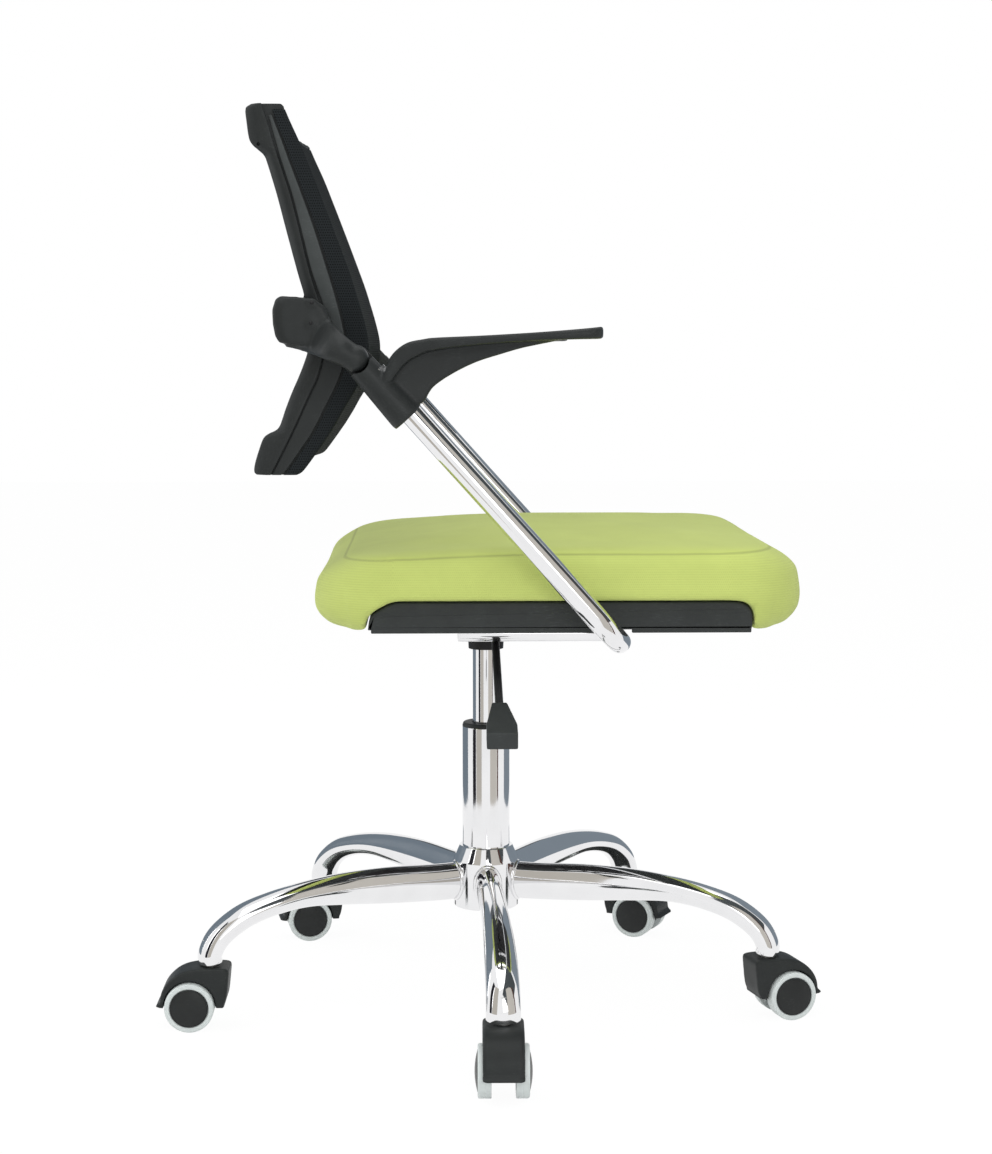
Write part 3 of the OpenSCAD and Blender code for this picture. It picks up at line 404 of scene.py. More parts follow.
def set_uv(mesh, per_corner):
    layer = mesh.uv_layers[0] if mesh.uv_layers else mesh.uv_layers.new(name="UVMap")
    layer.data.foreach_set("uv", per_corner.astype(np.float32).ravel())


def remeshed(name, mesh, voxel, rounds=5, factor=0.5):
    """One closed moulding from overlapping solids, with soft edges."""
    obj = thing(name, mesh)
    mod = obj.modifiers.new("Voxels", "REMESH")
    mod.mode = "VOXEL"
    mod.voxel_size = voxel
    soft = obj.modifiers.new("Soften", "SMOOTH")
    soft.factor = factor
    soft.iterations = rounds
    return baked(name, obj)


def volume(mesh):
    """Volume of a mesh, or zero where it isn't closed."""
    bm = bmesh.new()
    bm.from_mesh(mesh)
    closed = all(len(edge.link_faces) == 2 for edge in bm.edges)
    size = bm.calc_volume(signed=True) if closed else 0.0
    bm.free()
    return size


CUT_NUDGE = Vector((0.000013, 0.000017, -0.000011))
CUT_TRIES = 5
CUT_SLACK = 1.02


def cut(name, mesh, cutters):
    """The mesh less its cutters; a cutter that the solver can't take is nudged and cut again."""
    for cutter in cutters:
        least = volume(mesh) - CUT_SLACK * abs(volume(cutter)) - 1e-9
        for nudge in range(CUT_TRIES):
            obj = thing(name, mesh.copy())
            helper = thing(name + "_cutter", moved(cutter, Matrix.Translation(CUT_NUDGE * nudge)))
            mod = obj.modifiers.new("Cut", "BOOLEAN")
            mod.operation = "DIFFERENCE"
            mod.solver = "EXACT"
            mod.object = helper
            out = baked(name, obj)
            bpy.data.objects.remove(helper)
            if volume(out) > max(least, 0.0):
                break
        else:
            raise RuntimeError("the cut failed on " + name)
        mesh = out
    return mesh


def piece(name, mesh, body, look, replaces=(), angle=40):
    """A finished piece on its body: painted, and smooth but for edges sharper than the angle."""
    for poly in mesh.polygons:
        poly.use_smooth = True
    if angle is not None:
        mesh.set_sharp_from_angle(angle=math.radians(angle))
    mesh.materials.clear()
    mesh.materials.append(paints()[look])
    obj = thing(name, mesh)
    if replaces:
        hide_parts(*replaces)
    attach(obj, body)
    return obj


# Node trees

def new_group(kind, name, inputs, outputs):
    """A node group; a socket is given by its default number, or by the word for its type."""
    group = bpy.data.node_groups.new(name, kind)
    for way, sockets in (("INPUT", inputs), ("OUTPUT", outputs)):
        for label, value in sockets.items():
            word = value if isinstance(value, str) else type(value).__name__.capitalize()
            socket = group.interface.new_socket(name=label, in_out=way, socket_type="NodeSocket" + word)
            if word != value:
                socket.default_value = value
    return group, group.nodes.new("NodeGroupInput"), group.nodes.new("NodeGroupOutput")


def add(tree, kind, wires, **settings):
    """A node with its settings; a wire is a value for an input, or a socket that leads to it."""
    node = tree.nodes.new(kind)
    for name, value in settings.items():
        setattr(node, name, value)
    for label, value in wires.items():
        if isinstance(value, bpy.types.NodeSocket):
            tree.links.new(value, node.inputs[label])
        else:
            node.inputs[label].default_value = value
    return node


def new_tree(name, **sockets):
    """A geometry node tree, which ends in Realize Instances and Set Material."""
    tree, start, end = new_group("GeometryNodeTree", name, {
        "Geometry": "Geometry", **sockets, "Material": "Material"}, {"Geometry": "Geometry"})
    real = add(tree, "GeometryNodeRealizeInstances", {})
    smooth = add(tree, "GeometryNodeSetShadeSmooth", {"Geometry": real.outputs["Geometry"]})
    paint = add(tree, "GeometryNodeSetMaterial", {
        "Geometry": smooth.outputs["Geometry"], "Material": start.outputs["Material"]})
    tree.links.new(paint.outputs["Geometry"], end.inputs["Geometry"])
    return tree, start.outputs, real.inputs["Geometry"]


@cache
def swept_tube_tree():
    """A round bar along each edge path of its input mesh."""
    tree, given, made = new_tree("Swept tube", Radius=0.01, Sides=32)
    path = add(tree, "GeometryNodeMeshToCurve", {"Mesh": given["Geometry"]})
    circle = add(tree, "GeometryNodeCurvePrimitiveCircle", {
        "Radius": given["Radius"], "Resolution": given["Sides"]})
    sweep = add(tree, "GeometryNodeCurveToMesh", {
        "Curve": path.outputs["Curve"], "Profile Curve": circle.outputs["Curve"], "Fill Caps": True})
    tree.links.new(sweep.outputs["Mesh"], made)
    return tree


@cache
def copies_tree():
    """A copy of a part at each point of the input, turned by the point's turn attribute."""
    tree, given, made = new_tree("Copies at places", Part="Object")
    part = add(tree, "GeometryNodeObjectInfo", {"Object": given["Part"]})
    turn = add(tree, "GeometryNodeInputNamedAttribute", {"Name": "turn"}, data_type="FLOAT_VECTOR")
    euler = add(tree, "FunctionNodeEulerToRotation", {"Euler": turn.outputs["Attribute"]})
    placed = add(tree, "GeometryNodeInstanceOnPoints", {
        "Points": given["Geometry"], "Instance": part.outputs["Geometry"],
        "Rotation": euler.outputs["Rotation"]})
    tree.links.new(placed.outputs["Instances"], made)
    return tree


def run_tree(name, source, tree, **values):
    """The plain mesh that a tree makes from a source mesh."""
    obj = thing(name + "_source", source)
    mod = obj.modifiers.new("Tree", "NODES")
    mod.node_group = tree
    for item in tree.interface.items_tree:
        if item.in_out == "INPUT" and item.name in values:
            mod[item.identifier] = values[item.name]
    return baked(name, obj)


def bar(name, points, radius, look, sides):
    """A round bar along a path."""
    path = mesh_of("path", points, [], [(k, k + 1) for k in range(len(points) - 1)])
    return closed_up(run_tree(name, path, swept_tube_tree(), Radius=radius, Sides=sides,
                              Material=paints()[look]))


def copies(name, part, places, look):
    """Copies of a mesh at places, each a point and its turn about X, Y and Z."""
    points = mesh_of("places", [place for place, turn in places], [])
    turns = points.attributes.new("turn", "FLOAT_VECTOR", "POINT")
    turns.data.foreach_set("vector", [float(c) for place, turn in places for c in turn])
    part_obj = thing(name + "_part", part)
    mesh = run_tree(name, points, copies_tree(), Part=part_obj, Material=paints()[look])
    bpy.data.objects.remove(part_obj)
    return mesh


# Shader groups

def math_node(tree, operation, *values):
    return add(tree, "ShaderNodeMath", dict(enumerate(values)), operation=operation).outputs[0]


def noise(tree, vector, scale, detail=2.0, rough=0.5):
    return add(tree, "ShaderNodeTexNoise", {
        "Vector": vector, "Scale": scale, "Detail": detail, "Roughness": rough}).outputs["Fac"]


def ramp(tree, value, low, high, to_low=0.0, to_high=1.0):
    return add(tree, "ShaderNodeMapRange", {
        "Value": value, "From Min": low, "From Max": high, "To Min": to_low,
        "To Max": to_high}).outputs["Result"]


@cache
def grain_group():
    """Fine leathery grain of a moulding: its height, and a soft mottle of its gloss."""
    group, start, end = new_group("ShaderNodeTree", "Moulded grain", {
        "Vector": "Vector", "Grain": 900.0, "Spots": 14.0}, {"Height": "Float", "Mottle": "Float"})
    at, grain, spots = start.outputs[0], start.outputs["Grain"], start.outputs["Spots"]
    cells = add(group, "ShaderNodeTexVoronoi", {"Vector": at, "Scale": grain}, feature="SMOOTH_F1")
    fine = noise(group, at, grain, 3.0, 0.6)
    height = math_node(group, "ADD", math_node(group, "MULTIPLY", cells.outputs["Distance"], 0.6), fine)
    group.links.new(height, end.inputs["Height"])
    group.links.new(noise(group, at, spots, 4.0, 0.55), end.inputs["Mottle"])
    return group


@cache
def wear_group():
    """Where a surface is rubbed: fine scuffs, and broad handled patches."""
    group, start, end = new_group("ShaderNodeTree", "Handling wear", {
        "Vector": "Vector", "Scale": 22.0}, {"Scuff": "Float", "Dust": "Float"})
    at = start.outputs["Vector"]
    broad = noise(group, at, start.outputs["Scale"], 5.0, 0.65)
    stretch = add(group, "ShaderNodeMapping", {
        "Vector": at, "Scale": (1.0, 9.0, 6.0), "Rotation": (0.3, 0.5, 0.2)})
    lines = noise(group, stretch.outputs["Vector"], 160.0)
    scuff = math_node(group, "MULTIPLY", ramp(group, lines, 0.58, 0.72), ramp(group, broad, 0.45, 0.62))
    group.links.new(scuff, end.inputs["Scuff"])
    group.links.new(ramp(group, broad, 0.38, 0.66), end.inputs["Dust"])
    return group


@cache
def knit_group():
    """A knitted cloth on a UV in metres: thread height, and how deep in a hole a point is."""
    group, start, end = new_group("ShaderNodeTree", "Knitted cloth", {
        "Vector": "Vector", "Across": 0.0019, "Along": 0.0024}, {"Height": "Float", "Hole": "Float"})

    def does(operation, *values):
        return math_node(group, operation, *values)

    parts = add(group, "ShaderNodeSeparateXYZ", {"Vector": start.outputs["Vector"]}).outputs
    u = does("DIVIDE", parts["X"], start.outputs["Across"])
    v = does("DIVIDE", parts["Y"], start.outputs["Along"])
    stagger = does("MULTIPLY", does("FLOORED_MODULO", does("FLOOR", v), 2.0), 0.5)
    across = does("COSINE", does("MULTIPLY", does("ADD", u, stagger), 2 * HALF_TURN))
    along = does("COSINE", does("MULTIPLY", does("SUBTRACT", does("FRACT", v), 0.5), 2 * HALF_TURN))
    hole = ramp(group, does("MULTIPLY", does("ADD", across, 1.0), does("ADD", along, 1.0)), 1.2, 3.4)
    group.links.new(hole, end.inputs["Hole"])
    group.links.new(does("SUBTRACT", 1.0, hole), end.inputs["Height"])
    return group


class Paint:
    """A material with its Principled shader, and short ways to wire it."""

    def __init__(self, name, base, roughness, **constants):
        self.material = bpy.data.materials.new(name)
        self.material.use_nodes = True
        self.tree = self.material.node_tree
        self.shader = self.tree.nodes["Principled BSDF"]
        constants.update(Base_Color=(*base, 1.0), Roughness=roughness)
        for label, value in constants.items():
            self.shader.inputs[label.replace("_", " ")].default_value = value
        coords = add(self.tree, "ShaderNodeTexCoord", {})
        self.at = coords.outputs["Object"]
        self.uv = coords.outputs["UV"]

    def group(self, maker, vector, **values):
        """What a shader group puts out at a vector."""
        wires = {"Vector": vector, **values}
        return add(self.tree, "ShaderNodeGroup", wires, node_tree=maker()).outputs

    def less(self, socket, share):
        return math_node(self.tree, "MULTIPLY", socket, share)

    def mix(self, factor, a, b):
        """From a to b as the factor rises; each is a colour or a socket."""
        a, b = ((*c, 1.0) if isinstance(c, tuple) else c for c in (a, b))
        return add(self.tree, "ShaderNodeMix", {"Factor": factor, 6: a, 7: b},
                   data_type="RGBA").outputs[2]

    def colour(self, socket):
        self.tree.links.new(socket, self.shader.inputs["Base Color"])

    def gloss(self, socket, low, high, to_low, to_high):
        self.tree.links.new(ramp(self.tree, socket, low, high, to_low, to_high),
                            self.shader.inputs["Roughness"])

    def bump(self, height, strength, distance):
        node = add(self.tree, "ShaderNodeBump", {
            "Height": height, "Strength": strength, "Distance": distance})
        self.tree.links.new(node.outputs["Normal"], self.shader.inputs["Normal"])


def tinted(base, factor):
    return tuple(min(1.0, c * factor) for c in base)


def moulding_paint(name, base, roughness, grain, depth=0.00012):
    """Black moulded plastic: fine grain, mottled gloss, rubbed patches and a little dust."""
    paint = Paint(name, base, roughness, Specular_IOR_Level=0.18)
    skin_grain = paint.group(grain_group, paint.at, Grain=grain, Spots=16.0)
    wear = paint.group(wear_group, paint.at, Scale=26.0)
    dusty = paint.mix(paint.less(wear["Dust"], 0.35), base, tinted(base, 1.5))
    paint.colour(paint.mix(paint.less(wear["Scuff"], 0.35), dusty, tinted(base, 2.6)))
    paint.gloss(skin_grain["Mottle"], 0.3, 0.7, roughness - 0.06, roughness + 0.08)
    paint.bump(skin_grain["Height"], 0.35, depth)
    return paint.material


def plated_paint(name, base, roughness):
    """Polished plating: a faint ripple, a little haze and finger marks."""
    paint = Paint(name, base, roughness, Metallic=1.0)
    wear = paint.group(wear_group, paint.at, Scale=18.0)
    haze = math_node(paint.tree, "ADD", wear["Dust"], wear["Scuff"])
    paint.gloss(haze, 0.0, 1.6, roughness, roughness + 0.07)
    paint.colour(paint.mix(paint.less(wear["Dust"], 0.5), base, tinted(base, 0.93)))
    paint.bump(noise(paint.tree, paint.at, 32.0), 0.06, 0.0005)
    return paint.material


def steel_paint(name, base, roughness):
    """Zinc plated steel with a turned grain."""
    paint = Paint(name, base, roughness, Metallic=1.0)
    wear = paint.group(wear_group, paint.at, Scale=40.0)
    lines = noise(paint.tree, paint.at, 700.0, 2.0, 0.6)
    paint.gloss(lines, 0.3, 0.7, roughness - 0.05, roughness + 0.12)
    paint.colour(paint.mix(wear["Dust"], base, tinted(base, 0.75)))
    paint.bump(lines, 0.2, 0.00005)
    return paint.material


def cloth_paint(name, base):
    """The seat's knitted cloth: small holes in staggered rows with painted shade in them, soft sheen,
    uneven dye and a painted shadow line along its sewn edge.
    """
    paint = Paint(name, base, 0.9, Sheen_Weight=0.12, Sheen_Roughness=0.5, Specular_IOR_Level=0.3)
    tree = paint.tree
    knit = paint.group(knit_group, paint.uv, Across=0.0019, Along=0.0023)
    dye = noise(tree, paint.at, 9.0, 4.0, 0.6)
    fuzz = noise(tree, paint.at, 1400.0, 2.0, 0.7)
    dyed = paint.mix(ramp(tree, dye, 0.35, 0.65), tinted(base, 0.95), tinted(base, 1.04))
    # Painted shade: the cloth darkens the deeper a point lies in a knit hole
    hole_shaded_threads = paint.mix(paint.less(knit["Hole"], 0.32), dyed, tinted(base, 0.62))
    fuzzy = paint.mix(paint.less(fuzz, 0.18), hole_shaded_threads, tinted(base, 1.12))
    # Painted shade: a dark line along the sewn edge, where the crease would shade the cloth
    seam = add(tree, "ShaderNodeAttribute", {}, attribute_name="seam")
    line = ramp(tree, seam.outputs["Fac"], 0.0006, 0.0024, 0.45, 0.0)
    paint.colour(paint.mix(line, fuzzy, tinted(base, 0.45)))
    paint.bump(math_node(tree, "ADD", knit["Height"], paint.less(fuzz, 0.3)), 0.5, 0.00035)
    return paint.material


def back_cloth_paint(name, base):
    """The back's stretched black mesh: fine ribs with small openings between them, painted dark as shade.
    """
    paint = Paint(name, base, 0.75, Specular_IOR_Level=0.05)
    knit = paint.group(knit_group, paint.uv, Across=0.0022, Along=0.0026)
    # Painted shade: the openings darken with depth and the ribs stay paler
    paint.colour(paint.mix(knit["Hole"], tinted(base, 1.9), tinted(base, 0.35)))
    paint.bump(knit["Height"], 0.6, 0.0005)
    return paint.material


def tyre_paint(name, base):
    """Pale polyurethane, a little scuffed on its tread."""
    paint = Paint(name, base, 0.38, IOR=1.5)
    wear = paint.group(wear_group, paint.at, Scale=60.0)
    paint.colour(paint.mix(paint.less(wear["Dust"], 0.35), base, tinted(base, 0.86)))
    paint.gloss(wear["Dust"], 0.0, 1.0, 0.34, 0.5)
    paint.bump(noise(paint.tree, paint.at, 500.0), 0.1, 0.0001)
    return paint.material


@cache
def paints():
    """The chair's materials, made once."""
    look = bpy.context.scene.chair_finishes
    black = tuple(look.moulding)
    return {
        "chrome": plated_paint("Chrome plating", tuple(look.chrome), 0.05),
        "bright_steel": steel_paint("Zinc plated steel", (0.55, 0.55, 0.54), 0.32),
        "black_nylon": moulding_paint("Black nylon", black, 0.45, 1100.0),
        "black_steel": moulding_paint("Black painted steel", (0.022, 0.022, 0.023), 0.4, 1500.0, 0.00005),
        "dark_shell": moulding_paint("Seat tray moulding", tuple(look.tray), 0.5, 700.0, 0.0002),
        "lever_black": moulding_paint("Lever moulding", tinted(black, 1.6), 0.42, 1000.0),
        "seat_fabric": cloth_paint("Knitted seat cloth", tuple(look.cloth)),
        "black_moulding": moulding_paint("Back and arm moulding", black, 0.40, 1000.0),
        # Painted highlight: the ribs are the back's black plastic, made paler where light catches them
        "rib_painted_highlight": moulding_paint("Rib moulding with painted highlight", tinted(black, 2.2), 0.45, 1000.0),
        "back_mesh_cloth": back_cloth_paint("Black mesh cloth", tuple(look.mesh_cloth)),
        "pale_tyre": tyre_paint("Pale tyre", tuple(look.tyre)),
        "wheel_black": moulding_paint("Wheel centre", (0.026, 0.028, 0.028), 0.34, 900.0, 0.00008),
    }


def paint_node(look, *nodes):
    """A CAD node that stays gets its finish in its own material slots."""
    for node in nodes:
        mesh = frame["nodes"][node].data
        mesh.materials.clear()
        mesh.materials.append(paints()[look])


class ChairOperator:
    """What the chair's operators share."""
    bl_options = {"REGISTER", "UNDO"}


# Base

# Along a leg: reach, height, and the height and width of its section, in shares of the named sizes
LEG_SHARES = [
    [0.085, 1.00, 1.00, 0.00], [0.20, 1.00, 1.00, 0.00], [0.37, 1.03, 0.96, 0.06],
    [0.53, 1.04, 0.62, 0.15], [0.66, 1.01, 0.20, 0.32], [0.78, 0.90, 0.04, 0.55],
    [0.885, 0.72, 0.05, 0.80], [0.965, 0.44, 0.03, 0.95], [1.00, 0.16, 0.0, 1.00],
    [1.00, 0.00, 0.0, 1.00]]


def leg_rows(b):
    """Along a leg: its reach, its height, and the height and width of its section."""
    return smooth_rows([[
        b.leg_reach * s[0], b.leg_end_level + (b.leg_root_level - b.leg_end_level) * s[1],
        b.leg_end_length + (b.leg_root_height - b.leg_end_length) * s[2],
        b.leg_root_width + (b.leg_end_width - b.leg_root_width) * s[3]] for s in LEG_SHARES], 8)


def leg_mesh(b):
    """A leg along X, with its open end turned in by a small lip."""
    sides, lip = 56, 0.0012
    rows = leg_rows(b)
    rings = []
    for i, row in enumerate(rows):
        before, after = rows[max(0, i - 1)], rows[min(len(rows) - 1, i + 1)]
        slope = math.atan2(after[1] - before[1], after[0] - before[0])
        slope = -QUARTER if i == len(rows) - 1 else 0.0 if i == 0 else slope
        rings.append((row, slope, 0.0))
    end, slope = rings.pop()[:2]
    for rise, inset in ((lip, 0.0), (lip * 0.35, lip * 0.3), (0.0, lip)):
        rings.append((np.array([end[0], end[1] + rise, *end[2:]]), slope, inset))
    return skin("leg", [[
        (row[0] - (row[2] / 2 - inset) * math.sin(t) * math.sin(slope),
         (row[3] / 2 - inset) * math.cos(t),
         row[1] + (row[2] / 2 - inset) * math.sin(t) * math.cos(slope))
        for t in (2 * math.pi * k / sides for k in range(sides))] for row, slope, inset in rings])


def stem_places():
    return [Vector(JOINTS["caster_%d_swivel" % n]["pos_m"]) for n in CASTERS]


class CHAIR_OT_base(ChairOperator, bpy.types.Operator):
    """Hub, legs and their weld beads"""
    bl_idname = "chair.base"
    bl_label = "Star base"

    def execute(self, context):
        b, bore = context.scene.chair_base, context.scene.chair_column.column_diameter / 2
        r, low, top = b.hub_diameter / 2, b.hub_low, b.hub_low + b.hub_height
        foot_edge, edge = 0.0016, 0.0012
        hub = ring_of("hub", [(bore, low), (r, low), (r, top), (bore + b.shoulder * 0.2, top + b.shoulder),
                              (bore, top + b.shoulder)], [0, foot_edge, edge, edge, 0], 4, 128)
        piece("hub", hub, "base", "chrome", ["base_hub"], 25)
        leg, row = leg_mesh(b), leg_rows(b)[0]
        mouth = []
        for t in (2 * math.pi * k / 64 for k in range(65)):
            y, z = row[3] / 2 * math.cos(t), row[2] / 2 * math.sin(t)
            mouth.append((math.sqrt(r * r - y * y) + b.weld * 0.2, y, b.leg_root_level + z))
        weld = bar("weld", mouth, b.weld, "chrome", 10)
        welds = []
        for n, stem in zip(CASTERS, stem_places()):
            turn = Matrix.Rotation(math.atan2(stem.y, stem.x), 4, "Z")
            piece("leg_%d" % n, moved(leg, turn), "base", "chrome", ["base_leg_%d" % n], 60)
            welds.append(moved(weld, turn))
        piece("leg_welds", joined("leg_welds", welds), "base", "chrome", angle=60)
        paint_node("bright_steel", "leg_sockets", "caster_stems")
        return {"FINISHED"}


class CHAIR_OT_column(ChairOperator, bpy.types.Operator):
    """Chromed column, guide bush and gas spring"""
    bl_idname = "chair.column"
    bl_label = "Column and gas spring"

    def execute(self, context):
        c = context.scene.chair_column
        wall, floor, rod, play = 0.0025, 0.003, 0.00505, 0.00005
        r, low, top = c.column_diameter / 2, c.column_low, c.column_top
        column = ring_of("column", [
            (rod, low), (r, low), (r, top), (r - wall, top), (r - wall, low + floor), (rod, low + floor)],
            [0, 0.001, 0.0008, 0.0004, 0, 0], 4, 128)
        piece("column", column, "base", "chrome", ["column_tube"], 25)
        tube, foot, lead = c.tube_diameter / 2, top - 0.076, 0.0012
        bore, outside = tube + play, r - wall - play
        bush = ring_of("bush", [
            (bore, foot), (outside, foot), (outside, top), (r, top), (r - c.rim * 0.3, top + c.rim),
            (tube + lead, top + c.rim), (bore, top + c.rim - lead)],
            [0, 0, 0, 0.0004, 0.0012, 0.0006, 0.0004], 4, 96)
        piece("guide_bush_rim", bush, "base", "black_nylon", ["guide_bush"], 30)
        low, top = c.tube_low, c.tube_top
        groove_low, groove, groove_top, groove_deep = 0.013, 0.0145, 0.016, 0.0009
        foot_in, foot_rise, cavity_low, cavity_top, edge = 0.002, 0.003, 0.015, 0.012, 0.0008
        gas = ring_of("gas", [
            (rod, low), (tube - foot_in, low), (tube, low + foot_rise), (tube, low + groove_low),
            (tube - groove_deep, low + groove), (tube, low + groove_top), (tube, top), (rod, top),
            (rod, top - cavity_top), (rod, low + cavity_low)],
            [0, 0.001, 0.001, edge, edge, edge, edge, 0, 0, 0], 4, 96)
        piece("gas_tube", gas, "seat", "chrome", ["pressure_tube"], 25)
        paint_node("bright_steel", "piston_rod", "thrust_bearing", "release_pin")
        return {"FINISHED"}


# Casters

# Round a hood's side from its front: forward of the stem in shares of its reach, up in shares of its rise
HOOD_SHARES = [
    (1.00, 0.02), (1.00, 0.17), (0.975, 0.37), (0.90, 0.56), (0.79, 0.72), (0.64, 0.86),
    (0.46, 0.95), (0.24, 0.995), (0.0, 1.0), (-0.26, 1.00), (-0.37, 0.97), (-0.402, 0.90), (-0.39, 0.70),
    (-0.36, 0.35), (-0.33, 0.17), (-0.28, 0.05), (-0.20, 0.01)]


def hood_mesh(c):
    """A hood with a round well for each wheel and a web between them."""
    room, wall, beyond = 0.0015, 0.0034, 0.05
    coarse, fine = 0.0010, 0.0009
    wheel, web = c.wheel_diameter / 2, c.wheel_gap / 2 - 0.0004
    well = wheel + room
    reach, rise = c.trail + well + wall, c.hood_top - c.hood_low
    outline = [(x, max(z, c.hood_low)) for x, z in
               smooth_loop([(reach * u, c.hood_low + rise * v) for u, v in HOOD_SHARES], 4)]
    body = pillow("hood", outline, -c.hood_width / 2, c.hood_width / 2, c.hood_edge, 5, 6)
    lay = Matrix.Translation((c.trail, 0, wheel)) @ Matrix.Rotation(QUARTER, 4, "X")
    round_well = turned("well", [(0, 0), (well, 0), (well, beyond), (0, beyond)], 72)
    wells = [moved(round_well, lay @ Matrix.Translation((0, 0, z))) for z in (web, -web - beyond)]
    return remeshed("hood", cut("hood", remeshed("hood", body, coarse, 2), wells), fine, 3, 0.4)


def tyre_mesh(c):
    """A tyre about Y, from the inner face at zero to its outer face, with a fine parting groove."""
    r, w, core = c.wheel_diameter / 2, c.tyre_width, c.core_diameter / 2
    groove, lip, fine = 0.0003, 0.0012, 0.0002
    return moved(ring_of("tyre", [
        (core, 0), (r, 0), (r, w * 0.44), (r - groove, w * 0.47), (r, w * 0.50), (r, w),
        (core + lip, w), (core, w - lip)],
        [0, 0.0008, fine, fine, fine, w * 0.36, 0.0005, 0.0003], 6, 96), ALONG_Y)


def core_mesh(c):
    """A wheel's black centre: a domed cap with a stepped rim, over a hub with a bore."""
    w, core = c.tyre_width, c.core_diameter / 2
    step, inset, rim_in, rim_out = 0.0003, 0.0022, 0.0012, 0.0014
    boss_bore, boss = 0.006, 0.0085
    inner = [(0, inset), (boss_bore, inset), (boss_bore, 0.0), (boss, 0.0), (boss, inset),
             (core - 0.002, inset), (core - rim_in, step)]
    rim = [(core, step), (core, w), (core - 0.0004, w + step), (core - rim_in, w + step),
           (core - rim_out, w + step / 2)]
    dome = [(core * math.sin(a), w + c.dome * math.cos(a) ** 2)
            for a in (QUARTER * k / 18 for k in range(17, -1, -1))]
    dome = [(r, h) for r, h in dome if r < core - rim_out]
    return moved(turned("core", inner + rim + dome, 96), ALONG_Y)


class CHAIR_OT_casters(ChairOperator, bpy.types.Operator):
    """Five casters: hoods, tyres and domed wheel centres"""
    bl_idname = "chair.casters"
    bl_label = "Casters"

    def execute(self, context):
        c = context.scene.chair_casters
        hood = hood_mesh(c)
        wheel = (("tyre", tyre_mesh(c), "pale_tyre"), ("core", core_mesh(c), "wheel_black"))
        for n, stem in zip(CASTERS, stem_places()):
            axle = Vector(JOINTS["caster_%d_roll_left" % n]["pos_m"])
            turn = math.atan2(axle.y - stem.y, axle.x - stem.x)
            name = "caster_%d" % n
            mesh = copies("hood", hood, [((stem.x, stem.y, 0), (0, 0, turn))], "black_nylon")
            piece(name + "_hood_shell", mesh, name, "black_nylon", [name + "_hood"], 50)
            for side, way in SIDES:
                across = Vector((-math.sin(turn), math.cos(turn), 0)) * way
                place = (axle + across * c.wheel_gap / 2, (0, 0, turn + (math.pi if way < 0 else 0)))
                for kind, part, look in wheel:
                    piece("%s_%s_ring_%s" % (name, kind, side), copies(kind, part, [place], look),
                          "%s_wheel_%s" % (name, side), look, ["%s_%s_%s" % (name, kind, side)], 30)
            paint_node("bright_steel", name + "_axle")
        return {"FINISHED"}


# Seat

# Up the tray's rear end: length and height, in shares of its rounding and its height
TRAY_SHARES = [(0, 0), (0.023, 0.47), (0.10, 0.71), (0.23, 0.95), (0.30, 1.0)]


def tray_outline(s, grow=0.0):
    """The tray's side view, without its straight underside."""
    h = s.tray_height + grow
    rear = [(-s.tray_rear - grow + s.tray_round * a, s.level + h * b) for a, b in TRAY_SHARES]
    front = [(s.tray_front - s.tray_height * 0.9, s.level + h),
             (s.tray_front - s.tray_height * 0.3 + grow, s.level + h * 0.93),
             (s.tray_front + grow, s.level + h * 0.6), (s.tray_front + grow, s.level)]
    return [tuple(p) for end in (rear, front) for p in smooth_rows(end, 5)]


# Up the cushion's side: height, inset at the ends and inset along the sides, in shares of the corner
SIDE_SHARES = [
    (0.00, 0.264, 0.32), (0.025, 0.206, 0.25), (0.09, 0.128, 0.14), (0.20, 0.037, 0.05),
    (0.36, 0.0, 0.0), (0.55, 0.015, 0.0), (0.72, 0.05, 0.016), (0.84, 0.17, 0.038),
    (0.93, 0.32, 0.092), (0.98, 0.43, 0.17), (1.00, 0.50, 0.32)]
# Over its crown: rise, and inset in shares of half its depth
CROWN_SHARES = [(0.20, 0.27), (0.50, 0.42), (0.80, 0.64), (0.96, 0.84)]
CROWN_CORNER = 0.3
SEAM_SHARES = (0.975, 0.40, 0.15)
REAR_DROP = 1.07


def plan_ring(half, rounding):
    """An outline in plan from its half lengths and its corners' radii, each along X and Y."""
    corner_n, side_n = 12, 10

    def at(q, k):
        t = QUARTER * (q + k / corner_n)
        return ((1 if q in (0, 3) else -1) * (half[0] - rounding[0]) + rounding[0] * math.cos(t),
                (1 if q < 2 else -1) * (half[1] - rounding[1]) + rounding[1] * math.sin(t))

    out = []
    for q in range(4):
        start, end = at(q, corner_n), at((q + 1) % 4, 0)
        out += [at(q, k) for k in range(corner_n + 1)]
        out += [(start[0] + (end[0] - start[0]) * k / (side_n + 1),
                 start[1] + (end[1] - start[1]) * k / (side_n + 1)) for k in range(1, side_n + 1)]
    return out


def cushion_point(s, x, y, h):
    """A place from the cushion's middle and foot, with its crown falling towards the rear."""
    rear = max(0.0, -x / (s.depth / 2))
    return (s.middle + x, y, s.level - s.low + h - s.crown * REAR_DROP * rear * rear * h / s.height)


def side_ring(s, share, end, side, shrink=0.0):
    """A level line up the cushion's side, inset by its shares of the corner."""
    half = (s.depth / 2 - s.corner * end - shrink, s.width / 2 - s.corner * side - shrink)
    rounding = (s.corner * (1 - end), s.corner * (1 - side))
    return [cushion_point(s, x, y, s.height * share) for x, y in plan_ring(half, rounding)]


def crown_ring(s, rise, share):
    inset = s.depth / 2 * share
    half = (s.depth / 2 - inset, s.width / 2 - inset)
    rounding = [half[0] * CROWN_CORNER] * 2
    return [cushion_point(s, x, y, s.height + s.crown * rise) for x, y in plan_ring(half, rounding)]


